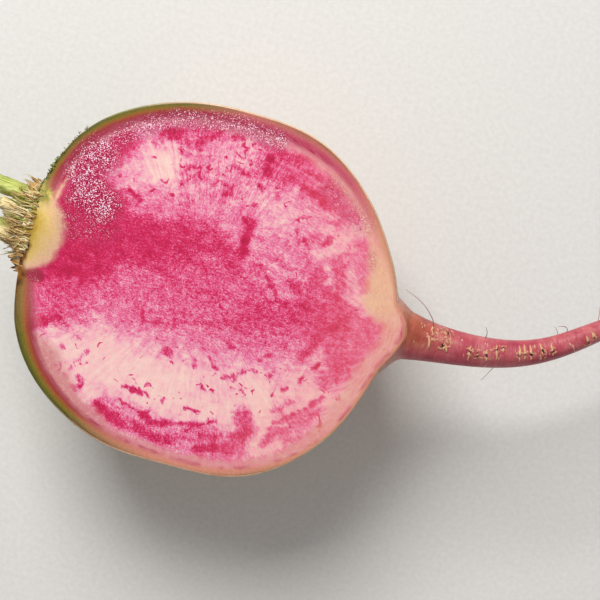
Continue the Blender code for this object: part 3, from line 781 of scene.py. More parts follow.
def squared(value):
    """A cosine or sine pushed outward, for a section with soft corners."""
    return np.copysign(np.abs(value) ** SECTION_SQUARENESS, value)


def stalk_body(number, row):
    """One trimmed leaf stalk: ribbed along its fibres, shrunken, torn at the end, with a sunken pith."""
    (inner, outer), turn_degrees, half_degrees, length, lean_degrees, widening, _ = row
    turn, half = math.radians(turn_degrees), math.radians(half_degrees)
    lean = math.tan(math.radians(lean_degrees))
    start = np.array((PLATE_X - STALK_GAP, STALKS_Y, AXIS_Z))
    forward = np.array((-1.0, STALKS_LEAN + lean * math.cos(turn), lean * math.sin(turn)))
    angle = 2.0 * math.pi * np.arange(STALK_AROUND) / STALK_AROUND
    draw = random.Random(number)
    loop = np.column_stack((np.cos(angle), np.sin(angle), np.full(STALK_AROUND, 7.0 * number)))
    fray = np.clip(0.5 + 0.9 * wander(loop, 0.35, number), 0.0, 1.0)
    ribs = STALK_LEAST_RIBS + int(STALK_RIBS_PER_MM * half * outer * MM)
    start_rib = draw.uniform(0.0, 6.0)
    rings, tones = [], []
    steps = round(length / STALK_STEP)

    def section(share, shrink, sink, end):
        wide = (1.0 + (widening - 1.0) * smooth_step(share)) * shrink
        depth = np.full(STALK_AROUND, share * length * MM * 0.35 + 3.0 * number)
        swell = wander(np.column_stack((loop[:, :2] * 1.6, depth)), 1.0, 40 + number)
        rib = 0.5 + 0.5 * np.cos(ribs * angle + start_rib + 1.2 * swell)
        shrunk = STALK_SHRINKING * np.clip(0.5 - swell, 0.0, 1.0)
        cut_in = STALK_RIB * (1.0 - rib) * shrink + shrunk * shrink
        mid, deep = (inner + outer) / 2, (outer - inner) / 2
        half_wide = half * mid
        cut_around = np.maximum(half_wide * wide - cut_in, STALK_LEAST_WIDTH * half_wide) / mid
        around = turn + cut_around * squared(np.cos(angle))
        out = mid + np.maximum(deep * shrink - cut_in, STALK_LEAST_WIDTH * deep) * squared(np.sin(angle))
        slant = STALK_END_SLANT * (out - inner) * share
        torn = STALK_FRAY * min(1.0, length / STALK_FULL_FRAY_LENGTH) * fray
        back = torn * smooth_step((share - 0.5) / 0.5)
        offset = np.column_stack((np.zeros(STALK_AROUND), np.cos(around), np.sin(around))) * out[:, None]
        rings.append(start + np.outer(length * share - slant - back * (1 - end) - sink, forward) + offset)
        # The rib's height, which the tissue reads for painted shade in the grooves.
        tones.append(np.column_stack((np.full(STALK_AROUND, share), rib, np.full(STALK_AROUND, end))))

    for i in range(steps + 1):
        section(i / steps, 1.0, 0.0, 0.0)
    for k in range(1, STALK_END_RINGS):
        inward = k / STALK_END_RINGS
        rough = STALK_END_ROUGHNESS * wander(loop * 3.0 + k * 0.7, 0.8, 60 + number)
        sink = STALK_PITH * smooth_step(inward / STALK_PITH_EDGE) + rough
        section(1.0, 1.0 - STALK_END_CLOSING * inward, sink, min(1.0, 0.4 + inward))
    body = Body()
    tube(body, rings, tones)
    return body


def stalk_top(y):
    """Height of the bundle of stalks above a place beside its middle."""
    return AXIS_Z + math.sqrt(max(STALKS_RADIUS**2 - (y - STALKS_Y) ** 2, 0.0))


def strand_over(draw, first_x, first_y, length):
    """The path of a torn fibre that starts on the cut crown and lies back over the stalks."""
    fan = STALKS_LEAN + STRAND_FAN_OUTWARD * (first_y - CROWN_Y) + draw.uniform(-STRAND_FAN, STRAND_FAN)
    curl = draw.uniform(-STRAND_CURL, STRAND_CURL)
    lift = draw.uniform(*STRAND_LIFT)
    wave = draw.uniform(0.0, STRAND_WAVE)
    phase = draw.uniform(0.0, 2.0 * math.pi)
    path = []
    for i in range(STRAND_OVER_STEPS + 1):
        share = i / STRAND_OVER_STEPS
        x = first_x - length * share
        bent = fan * share + 0.5 * curl * share * share
        y = first_y + length * bent + wave * math.sin(phase + STRAND_WAVE_RADIANS * share)
        over = float(cut_height(max(x, PLATE_X), y))
        low = stalk_top(y)
        down = smooth_step((PLATE_X + STRAND_FALL_BEFORE - x) / STRAND_FALL_OVER)
        z = over + (min(over, low) - over) * down + lift * (0.2 + math.sin(math.pi * min(1.0, 1.3 * share)))
        path.append(Vector((x, y, z)))
    return path


def strand_between(draw, turn, radius, length):
    """The path of a torn fibre that stands out of the crown's plate among the stalks."""
    splay = draw.uniform(*STRAND_SPLAY)
    twist = draw.uniform(-STRAND_TWIST, STRAND_TWIST)
    path = []
    for i in range(STRAND_AMONG_STEPS + 1):
        share = i / STRAND_AMONG_STEPS
        uneven = 0.5 * draw.uniform(0, STRAND_UNEVENNESS)
        out = radius + splay * length * share + uneven * length * share**2
        around = turn + twist * share * length / radius
        y = STALKS_Y + STALKS_LEAN * length * share + out * math.cos(around)
        path.append(Vector((PLATE_X + STRAND_SUNK - length * share, y, AXIS_Z + out * math.sin(around))))
    return path


def crown_strands():
    """Torn fibres of old leaf stalks, gathered by finish."""
    draw = random.Random(STRAND_SEED)
    bodies = {slot: Body() for slot in STRAND_SHARES}

    def lay(path, thick):
        slot = draw.choices(tuple(STRAND_SHARES), tuple(STRAND_SHARES.values()))[0]
        radius = draw.uniform(*thick)
        thread(bodies[slot], path, tapered(STRAND_TAPER, radius), draw.random(),
               flat=draw.uniform(*STRAND_FLATNESS))

    count, lengths, thick = STRANDS_OVER
    for _ in range(count):
        first_y = draw.uniform(*STRAND_FEET_ACROSS)
        aside = max(0.0, abs(first_y - CROWN_Y) - STRAND_FEET_NEAR)
        first_x = STRAND_FEET_X - STRAND_FEET_SCATTER * draw.random() - STRAND_FEET_CURVE * aside
        lay(strand_over(draw, first_x, first_y, draw.uniform(*lengths)), thick)
    count, lengths, thick = STRANDS_AMONG
    for _ in range(count):
        turn = math.radians(draw.uniform(*STRAND_FEET_TURNS))
        radius = draw.choice([draw.uniform(*ring) for ring in STRAND_FEET_RINGS])
        lay(strand_between(draw, turn, radius, draw.uniform(*lengths)), thick)
    return bodies


def flake(body, draw, foot, forward, across, length, width, thick):
    """A dry scrap of an old leaf base: thin, ribbed, curled, and torn at the tip."""
    normal = forward.cross(across).normalized()
    angle = 2.0 * math.pi * np.arange(SCRAP_AROUND) / SCRAP_AROUND
    side = np.cos(angle)
    curl = draw.uniform(*SCRAP_CURL)
    tears = [draw.uniform(*SCRAP_TORN_TO) for _ in range(SCRAP_TEARS)]
    shade = draw.random()
    rings, tones = [], []
    for i in range(SCRAP_STEPS + 1):
        share = i / SCRAP_STEPS
        wide = width / 2 * (1.0 - 0.25 * share) * (1.0 - 0.6 * smooth_step((share - 0.7) / 0.3))
        torn = np.interp(side, np.linspace(-1, 1, SCRAP_TEARS), tears)
        reach = length * share * (1.0 - (1.0 - torn) * smooth_step(share))
        rib = SCRAP_RIB * thick * np.cos(SCRAP_RIBS * side + 2.0 * shade)
        half = thick / 2 * (1.0 - 0.55 * share) * np.sin(angle) + rib
        bow = -SCRAP_BOW * wide * side**2 + curl * length * share**2
        centre = np.array(foot) + np.outer(reach, forward)
        rings.append(centre + np.outer(side * wide, across) + np.outer(half + bow, normal))
        plain = np.ones(SCRAP_AROUND)
        tones.append(np.column_stack((share * plain, shade * plain, 0.5 + 0.5 * np.cos(SCRAP_RIBS * side))))
    tube(body, rings, tones)


def crown_flakes():
    """The scraps round the crown's uncut side, and a few more along the edge of the cut."""
    body = Body()
    draw = random.Random(SCRAP_SEED)
    more = random.Random(EDGE_SCRAP_SEED)
    first, last = SCRAP_ARC
    step = (last - first) / (SCRAPS - 1)
    for i in range(SCRAPS):
        turn = math.radians(first + step * (i + draw.uniform(-SCRAP_JITTER, SCRAP_JITTER)))
        length = SCRAP_SUNK + draw.uniform(*SCRAP_LENGTH)
        width = draw.uniform(*SCRAP_WIDTH)
        splay = math.radians(draw.uniform(*SCRAP_SPLAY))
        outward = Vector((0.0, math.cos(turn), math.sin(turn)))
        forward = (Vector((-math.cos(splay), 0.0, 0.0)) + math.sin(splay) * outward).normalized()
        across = forward.cross(outward).normalized()
        foot = Vector((SCRAP_X, CROWN_Y, AXIS_Z)) + outward * (PLATE_RADIUS - SCRAP_SUNK)
        flake(body, more, foot, forward, across, length, width, SCRAP_THICK)
    for _ in range(EDGE_SCRAPS):
        y = more.uniform(*EDGE_SCRAP_ACROSS)
        x = EDGE_SCRAP_X - EDGE_SCRAP_SCATTER * more.random()
        x += EDGE_SCRAP_CURVE * max(0.0, EDGE_SCRAP_STRAIGHT_TO - y)
        forward = Vector((-1.0, more.uniform(-0.75, 0.1), more.uniform(-0.35, 0.25))).normalized()
        across = forward.cross(Vector((0.0, more.uniform(-0.5, 0.2), 1.0))).normalized()
        foot = Vector((x, y, float(cut_height(x, y)) - EDGE_SCRAP_SUNK))
        length, width = more.uniform(*EDGE_SCRAP_LENGTH), more.uniform(*EDGE_SCRAP_WIDTH)
        flake(body, more, foot, forward, across, length, width, EDGE_SCRAP_THICK)
    return body


def tail_place(places, along):
    """Middle, side and up of the tap root at a distance from its base."""
    here = int(np.searchsorted([p[0] for p in places], along)) - 1
    here = min(max(here, 0), len(places) - 2)
    one, two = places[here], places[here + 1]
    share = (along - one[0]) / (two[0] - one[0])
    return [one[k].lerp(two[k], share) for k in (1, 2, 3)]


def scar_patch(body, places, ridges, cracks, mirrored, seed):
    """One corky patch: spindle-shaped ridges across the tap root, and ragged cracks through them."""
    around = [spot for ridge in ridges for spot in (ridge[1], ridge[3])]
    along = [spot for ridge in ridges for spot in (ridge[0], ridge[2])]
    past_end, past_side = SCAR_MARGINS
    crack_reach, crack_edge = SCAR_CRACK
    cork_reach, cork_edge = SCAR_CORK
    arc = np.arange(min(around) - past_side, max(around) + past_side, SCAR_STEP)
    rings, tones = [], []
    for at in np.arange(min(along) - past_end, max(along) + past_end, SCAR_STEP):
        spots = np.column_stack((np.full(len(arc), at), arc, np.full(len(arc), 5.0 * seed)))
        rough = wander(spots, 0.55, 81, 4)
        at_x = at + 0.20 * wander(spots, 1.1, 82)
        at_y = arc + 0.20 * wander(spots, 1.1, 83)
        crest = np.zeros(len(arc))
        for ridge in ridges:
            share, off = run_along(ridge, at_x, at_y)
            swell = np.sin(math.pi * share) ** 0.6
            crest = np.maximum(crest, swell * np.exp(-((off / (SCAR_HALF_WIDTH * (0.25 + swell))) ** 2)))
        crack_x, crack_y = at_x + 0.25 * rough, at_y + 0.25 * rough[::-1]
        torn = np.min([distance_to(path, crack_x, crack_y) for path in cracks], axis=0)
        crack = smooth_step((crack_reach - torn) / crack_edge)
        cork = smooth_step((cork_reach + 0.5 * rough - torn) / cork_edge)
        shown = smooth_step(2.6 * np.maximum(crest, cork))
        height = -SCAR_SUNK * (1.0 - shown) + cork * (0.00003 + 0.00013 * rough) + SCAR_HEIGHT * crest
        height -= SCAR_SUNK * crack
        middle, side, up = tail_place(places, at / MM)
        radius = between(TAIL_RADII, at / MM)
        turns = math.pi / 2 - arc / MM / radius
        if mirrored:
            turns = turns + math.pi
        spread = np.outer(np.cos(turns), side) + np.outer(np.sin(turns), up)
        top = np.array(middle) + spread * (radius + height)[:, None]
        low = np.array(middle) + spread[::-SCAR_BASE_STRIDE] * (0.7 * radius)
        rings.append(np.vstack((top[::-1], low[::-1])))
        # The cracks are darkened here, as painted shade in them.
        shade = np.clip(0.5 + 0.5 * rough - 1.2 * crack, -0.6, 1.0)
        shades = np.column_stack((crest * (1.0 - crack), shade, cork))
        tones.append(np.vstack((shades[::-1], np.zeros((len(low), 3)))))
    tube(body, rings, tones)


def scar_patches():
    body = Body()
    places = tail_frames(TAIL_FINE_STATIONS)
    for number, (ridges, cracks) in enumerate(SCARS):
        scar_patch(body, places, ridges, cracks, False, number)
        scar_patch(body, places, [(a + 0.7, -b, c + 0.5, -d) for a, b, c, d in ridges],
                   [[(a + 0.6, -b) for a, b in path] for path in cracks], True, number + 20)
    return body


def any_way(draw):
    """A random direction, no more than 1 along each axis."""
    return Vector([draw.uniform(-1, 1) for _ in range(3)])


def rootlets():
    """Fine dry rootlets, thin as hair, that stand off the tap root and droop."""
    body = Body()
    places = tail_frames(TAIL_FINE_STATIONS)
    draw = random.Random(ROOTLET_SEED)
    for along, turn_degrees, length, backwards, (bend, sweep) in ROOTLETS:
        middle, side, up = tail_place(places, along)
        radius = between(TAIL_RADII, along)
        turn = math.radians(turn_degrees)
        outward = math.cos(turn) * side + math.sin(turn) * up
        lengthwise = side.cross(up)
        crosswise = lengthwise.cross(outward)
        at = middle + outward * (radius - ROOTLET_SUNK)
        heading = (outward - backwards * lengthwise).normalized()
        path = [at.copy()]
        for i in range(ROOTLET_STEPS):
            at = at + heading * (length / ROOTLET_STEPS)
            if i > 1:
                bent = (sweep * crosswise - bend * lengthwise) * (ROOTLET_BENDING / ROOTLET_STEPS)
                drooped = heading + bent - Vector((0, 0, ROOTLET_DROOP / ROOTLET_STEPS))
                heading = (drooped + ROOTLET_JITTER * any_way(draw)).normalized()
            at.z = max(at.z, ROOTLET_CLEAR)
            path.append(at.copy())
        thread(body, path, ROOTLET_THICK, draw.random())
    return body


def rim_y(x):
    """How far to the left the rim of the cut lies."""
    return float(middle_y(x)) + math.sqrt(max(float(root_radius(x)) ** 2 - CUT_ABOVE_AXIS**2, 0.0))


def rim_tufts(count, seed, stretch, inward, thick):
    """Small dark buds and hairs along the crown's edge of the cut."""
    body = Body()
    draw = random.Random(seed)
    first_x, last_x = stretch
    for _ in range(count):
        x = first_x + (last_x - first_x) * draw.random()
        y = rim_y(x) + TUFT_OUTSIDE - inward * draw.random() ** TUFT_CROWDING
        at = Vector((x, y, CUT_Z - draw.uniform(0.0, TUFT_SUNK)))
        heading = (Vector(TUFT_HEADING) + TUFT_SPREAD * any_way(draw)).normalized()
        turn = any_way(draw)
        length = draw.uniform(*TUFT_LENGTH)
        path = [at.copy()]
        for _ in range(TUFT_STEPS):
            at = at + heading * (length / TUFT_STEPS)
            heading = (heading + TUFT_CURL * turn - Vector((0.0, 0.0, TUFT_DROOP))).normalized()
            path.append(at.copy())
        radius = draw.uniform(*thick)
        thread(body, path, tapered(TUFT_TAPER, radius), draw.random(), sides=TUFT_SIDES)
    return body


def small_bud():
    """A pale bud the size of a pinhead, with a dimple, on the crown beside the cut."""
    turns = 2.0 * math.pi * np.arange(BUD_AROUND) / BUD_AROUND
    place = np.array((*BUD_AT, float(cut_height(*BUD_AT)) + 0.0001))
    rings, tones = [], []
    for number, (radius, height) in enumerate(BUD_PROFILE):
        lump = radius * (1.0 + 0.05 * np.sin(3.0 * turns + 0.6) + 0.03 * np.sin(5.0 * turns))
        heights = np.full(BUD_AROUND, height) + 0.10 * lump * np.cos(turns)
        rings.append(place + np.column_stack((lump * np.cos(turns), 1.15 * lump * np.sin(turns), heights)))
        tones.append(np.tile((number / len(BUD_PROFILE), 0.9, 0.0), (BUD_AROUND, 1)))
    body = Body()
    tube(body, rings, tones)
    return body


def wander(points, pitch, seed, octaves=3):
    """Smooth random values, about -1 to 1, with features of that many millimetres."""
    start = Vector((seed * 17.3, seed * 5.1, seed * 9.7))
    return np.array([noise.fractal(Vector(p) / pitch + start, 0.7, 2.1, octaves) for p in points])


def run_along(path, x, y):
    """How far along a straight run each place lies, from 0 to 1, and how far off it."""
    x0, y0, x1, y1 = path
    share = ((x - x0) * (x1 - x0) + (y - y0) * (y1 - y0)) / ((x1 - x0) ** 2 + (y1 - y0) ** 2)
    share = np.clip(share, 0.0, 1.0)
    return share, np.hypot(x - x0 - share * (x1 - x0), y - y0 - share * (y1 - y0))


def distance_to(path, x, y):
    """Distance of each place from a path of straight runs."""
    best = np.full(x.shape, np.inf)
    for start, end in zip(path, path[1:]):
        best = np.minimum(best, run_along((*start, *end), x, y)[1])
    return best


def from_stations(stations, x):
    """The value at each place, on straight lines between the stations."""
    places, values = zip(*stations)
    return np.interp(x, places, values)


def flesh_pigment(points):
    """How deep the magenta is at each place of the cut face, from its listed strokes."""
    x, y = points[:, 0], points[:, 1]
    flat = np.column_stack((x, y, np.zeros(len(x))))
    broad = (wander(flat, 5.0, 1), wander(flat, 5.0, 2))
    ragged = (wander(flat, 1.3, 3), wander(flat, 1.3, 4))
    pigment = np.full(x.shape, FLESH_GROUND)
    cloud_x = x + 1.2 * broad[0] + 0.8 * ragged[0]
    cloud_y = y + 1.2 * broad[1] + 0.8 * ragged[1]
    for value, half, soft, strength, path in CLOUDS:
        reach = half + 1.1 * soft
        weight = strength * smooth_step((reach - distance_to(path, cloud_x, cloud_y)) / (1.3 * soft))
        pigment += (value - pigment) * weight
    fleck_x, fleck_y = x + 0.5 * ragged[0], y + 0.5 * ragged[1]
    breaks = 1.0 + 0.5 * wander(flat, 0.7, 5, 2)
    for value, half, soft, strength, path in FLECKS:
        weight = strength * smooth_step((half + soft - distance_to(path, fleck_x, fleck_y)) / soft)
        pigment += np.maximum(value - pigment, 0.0) * np.clip(weight * breaks, 0.0, 1.0)
    return pigment


def store(mesh, name, *columns):
    """Keeps a value or a vector at each vertex, for the materials to read."""
    values = np.column_stack(columns).astype(np.float32)
    kind, field = ("FLOAT", "value") if values.shape[1] == 1 else ("FLOAT_VECTOR", "vector")
    mesh.attributes.new(name, kind, "POINT").data.foreach_set(field, values.ravel())


def hex_colour(text):
    """sRGB hex to the linear colour that a shader takes."""
    parts = [int(text[i : i + 2], 16) / 255 for i in (1, 3, 5)]
    linear = [p / 12.92 if p <= 0.04045 else ((p + 0.055) / 1.055) ** 2.4 for p in parts]
    return (*linear, 1.0)


def add(tree, kind, inputs=(), output=0, stops=(), **settings):
    """Adds a node with its settings and its inputs, as values, hex colours or links, and gives one output."""
    node = tree.nodes.new("ShaderNode" + kind)
    for name, value in settings.items():
        setattr(node, name, value)
    for key, value in inputs.items() if isinstance(inputs, dict) else enumerate(inputs):
        if isinstance(value, bpy.types.NodeSocket):
            tree.links.new(value, node.inputs[key])
        else:
            node.inputs[key].default_value = hex_colour(value) if isinstance(value, str) else value
    if stops:
        ramp = node.color_ramp.elements
        while len(ramp) < len(stops):
            ramp.new(1.0)
        for element, (position, colour) in zip(ramp, stops):
            element.position = position
            element.color = hex_colour(colour)
    return node.outputs[output] if node.outputs else node


def new_material(name):
    """An empty material and its tree."""
    material = bpy.data.materials.new(name)
    material.use_nodes = True
    material.node_tree.nodes.clear()
    return material, material.node_tree


def radish_flesh():
    """Raw radish flesh, cut with a knife: wet, juicy cells with painted glints on the drops and painted shade
    in the pits between them, magenta pigment in clouds, streaks along the vessels and rays across them, and a
    pale rind with a dark ring under it."""
    material, tree = new_material("radish_flesh_cut")
    place = add(tree, "TexCoord", output="Object")
    mm = add(tree, "VectorMath", {0: place, "Scale": MM}, operation="SCALE")
    pigment, warm, band_shade, wet_and_glints = (
        add(tree, "Attribute", attribute_name=name, output="Fac")
        for name in ("pigment", "warm", "band_shade", "wet_and_glints"))
    vessel_way, ray_way = (
        add(tree, "Attribute", attribute_name=name, output="Vector") for name in ("vessel_way", "ray_way"))
    rind, tints, marks, crown_tints = (
        add(tree, "SeparateXYZ", [add(tree, "Attribute", attribute_name=name, output="Vector")]).node.outputs
        for name in ("rind", "rim_tints", "marks", "crown_tints"))

    # Each pattern's way, its grains to the millimetre each way, detail, roughness and distortion.
    mottle, drops, curls, vessel_grain, ray_grain, rays, fibres, layers = (
        add(tree, "TexNoise", {
            "Vector": add(tree, "VectorMath", (way, per_mm), operation="MULTIPLY"),
            "Scale": 1.0, "Detail": detail, "Roughness": roughness, "Distortion": distortion})
        for way, per_mm, detail, roughness, distortion in (
            (mm, (0.55, 0.55, 0.55), 6.0, 0.68, 0.6),
            (mm, (4.4, 4.4, 4.4), 0.0, 0.5, 0.8),
            (mm, (0.42, 0.42, 0.42), 2.0, 0.5, 1.3),
            (vessel_way, (1.3, 2.8, 1.0), 3.0, 0.72, 0.3),
            (ray_way, (2.8, 1.2, 1.0), 3.0, 0.72, 0.3),
            (ray_way, (1.2, 0.14, 1.0), 4.0, 0.5, 0.6),
            (vessel_way, (0.13, 0.9, 1.0), 3.0, 0.5, 0.4),
            (ray_way, (0.35, 2.4, 1.0), 4.0, 0.65, 0.5)))
    cells = add(tree, "Mix", {0: crown_tints["Z"], 2: vessel_grain, 3: ray_grain})
    # What each is made from, the two values that it runs between, and what they become.
    juicy, patchy, streaked, speckled, shade, low, in_crown = (
        add(tree, "MapRange", row) for row in (
            (warm, 0.0, 0.14, 0.75, 0.25),
            (layers, 0.35, 0.62, 0.35, 1.1),
            (layers, 0.38, 0.60, 0.40, 1.20),
            (cells, 0.35, 0.60, 0.55, 1.0),
            (cells, 0.35, 0.65, 0.90, 1.10),
            (drops, 0.58, 0.45, 0.0, 0.9),
            (marks["Z"], 0.0, 0.06, 0.0, 1.0)))

    # The pigment, uneven by its cells and fibres, rayed towards the rim, and with darker curls.
    in_pink = add(tree, "MapRange", (pigment, 0.20, 0.50, 0.0, juicy))
    unevenness = 0.0
    for pattern, amount in ((mottle, 1.0), (cells, 1.35), (drops, in_pink), (fibres, marks["Y"])):
        centred = add(tree, "Math", (pattern, 0.5), operation="SUBTRACT")
        unevenness = add(tree, "Math", (centred, amount, unevenness), operation="MULTIPLY_ADD")
    lively = add(tree, "ValToRGB", [pigment], stops=(
        (0.05, "#909090"), (0.30, "#FFFFFF"), (0.65, "#FFFFFF"), (0.92, "#DCDCDC")))
    clouded = add(tree, "Math", (unevenness, lively, pigment), operation="MULTIPLY_ADD")
    centred = add(tree, "Math", (rays, 0.5), operation="SUBTRACT")
    rayed = add(tree, "Math", (centred, marks["X"], clouded), operation="MULTIPLY_ADD")
    likely = add(tree, "Math", (marks["X"], 0.05, curls), operation="MULTIPLY_ADD")
    curl = add(tree, "MapRange", (likely, 0.665, 0.72, 0.0, 0.85))
    total = add(tree, "Mix", {0: curl, 2: rayed, 3: 0.86})
    scaled = add(tree, "Math", (total, 0.8), operation="MULTIPLY")
    flesh = add(tree, "ValToRGB", [scaled], stops=(
        (0.00, "#F5D2C6"), (0.10, "#F3C2BE"), (0.20, "#EEA8B8"), (0.30, "#E684A8"), (0.42, "#E26491"),
        (0.53, "#D83A6E"), (0.64, "#CE1A54"), (0.74, "#BE0E46"), (0.84, "#AC0A3C"), (1.00, "#840A34")))

    # The rind's colours by depth, from 0 at the rim to 1 at the ring.
    level = add(tree, "Math", (rind["X"], 0.25), operation="SUBTRACT")
    depth = add(tree, "Math", (layers, 0.5, level), operation="MULTIPLY_ADD")
    brown, sandy, rosy, green, tan = (
        add(tree, "ValToRGB", [depth], stops=stops) for stops in (
            ((0.00, "#8A5A3E"), (0.15, "#B47C60"), (0.40, "#CA826C"), (0.70, "#D07C70"), (1.00, "#D07678")),
            ((0.00, "#8A6040"), (0.15, "#B4825E"), (0.45, "#CE9474"), (1.00, "#E2AC8C")),
            ((0.00, "#8A5A3A"), (0.12, "#A86850"), (0.30, "#BC6662"), (0.65, "#C05268"), (1.00, "#C03A5C")),
            ((0.00, "#2E3A04"), (0.16, "#505A0A"), (0.36, "#746A14"), (0.52, "#925A1C"), (0.68, "#963C28"),
             (0.84, "#8A2430"), (1.00, "#94223E")),
            ((0.00, "#CE9878"), (0.50, "#DCAA80"), (1.00, "#E6BC92"))))
    # Painted shade on the band inside the ring: this share lays #BC6A68 over it, and the band shows wherever
    # the shade is.
    band_shade_share = add(tree, "Math", (band_shade, 0.7), operation="MULTIPLY")
    outside = add(tree, "MapRange", (depth, 1.20, 0.75, 0.0, 1.0))
    ring = add(tree, "Math", (rind["Y"], streaked), operation="MULTIPLY", use_clamp=True)
    shown = patchy
    for operation, other in (("MAXIMUM", tints["Y"]), ("MAXIMUM", band_shade), ("MULTIPLY", speckled)):
        shown = add(tree, "Math", (shown, other), operation=operation)
    band = add(tree, "Math", (rind["Z"], shown), operation="MULTIPLY", use_clamp=True)

    # The crown's colours by depth, from 0 where the pink begins to 1 at the stalks.
    grainy = add(tree, "Math", (cells, 0.05, -0.235), operation="MULTIPLY_ADD")
    ragged = add(tree, "Math", (mottle, 0.42, grainy), operation="MULTIPLY_ADD")
    crown_depth = add(tree, "Math", (ragged, in_crown, marks["Z"]), operation="MULTIPLY_ADD")
    crown_share = add(tree, "MapRange", (crown_depth, -0.02, 0.26, 0.0, 1.0))
    crown, olive, dirt = (
        add(tree, "ValToRGB", [value], stops=stops) for value, stops in (
            (crown_depth, ((0.00, "#C87080"), (0.10, "#DC9C92"), (0.24, "#E6B496"), (0.42, "#EAC092"),
                           (0.64, "#E8C47E"), (0.86, "#D8B65C"), (1.00, "#B49238"))),
            (mottle, ((0.35, "#6E6A14"), (0.50, "#A89838"), (0.65, "#D0C064"))),
            (mottle, ((0.30, "#2E1608"), (0.48, "#6A3C1A"), (0.62, "#94602C"), (0.80, "#B88848")))))

    # Colours laid over each other, each by its share: those of the rind outside the ring, of the band inside
    # it, of the ring and of the crown, and then all of them over the flesh.
    coated = []
    for colour, coats in (
        (brown, ((tints["Y"], sandy), (tints["Z"], rosy), (tints["X"], green))),
        ("#DE9AA0", ((tints["Y"], tan), (band_shade_share, "#BC6A68"))),
        ("#A01040", ((tints["Y"], "#C8486A"), (tints["X"], "#982A3A"))),
        (crown, ((crown_tints["X"], olive),)),
    ):
        for share, coat in coats:
            colour = add(tree, "Mix", {0: share, 6: colour, 7: coat}, data_type="RGBA", output=2)
        coated.append(colour)
    outer, inner, ring_hue, crown_top = coated
    colour = flesh
    for share, coat in ((warm, "#F08468"), (band, inner), (outside, outer), (ring, ring_hue),
                        (crown_share, crown_top), (crown_tints["Y"], dirt)):
        colour = add(tree, "Mix", {0: share, 6: colour, 7: coat}, data_type="RGBA", output=2)
    colour = add(tree, "VectorMath", {0: colour, "Scale": shade}, operation="SCALE")

    # Where it is wet: painted shade in the pits between the drops, and painted glints on them, as spots in
    # the base colour.
    pit_shade = add(tree, "Math", (low, wet_and_glints), operation="MULTIPLY")
    clusters = add(tree, "Math", (mottle, 0.55, drops), operation="MULTIPLY_ADD")
    glint_level = add(tree, "Math", (wet_and_glints, 0.16, clusters), operation="MULTIPLY_ADD")
    # The painted glints: pale spots in the base colour where the drops rise highest.
    glint_spots = add(tree, "MapRange", (glint_level, 1.045, 1.080, 0.0, 1.0))
    painted_glint = add(tree, "Math", (glint_spots, wet_and_glints), operation="MULTIPLY")
    for share, coat in ((pit_shade, "#96043A"), (painted_glint, "#FFE2F2")):
        colour = add(tree, "Mix", {0: share, 6: colour, 7: coat}, data_type="RGBA", output=2)
    film = add(tree, "Bump", {"Height": drops, "Strength": 0.2, "Distance": 0.00004})
    film_weight = add(tree, "Math", (wet_and_glints, 0.6), operation="MULTIPLY")
    relief = add(tree, "Math", (cells, 0.6, mottle), operation="MULTIPLY_ADD")
    bump = add(tree, "Bump", {"Height": relief, "Strength": 0.25, "Distance": 0.00008})
    add(tree, "OutputMaterial", {"Surface": add(tree, "BsdfPrincipled", {
        "Base Color": colour, "Roughness": 0.34, "IOR": 1.36, "Specular IOR Level": 0.2, "Normal": bump,
        "Coat Weight": film_weight, "Coat Roughness": 0.16, "Coat IOR": 1.33, "Coat Normal": film,
        "Subsurface Weight": 0.05, "Subsurface Scale": 0.001})})
    return material


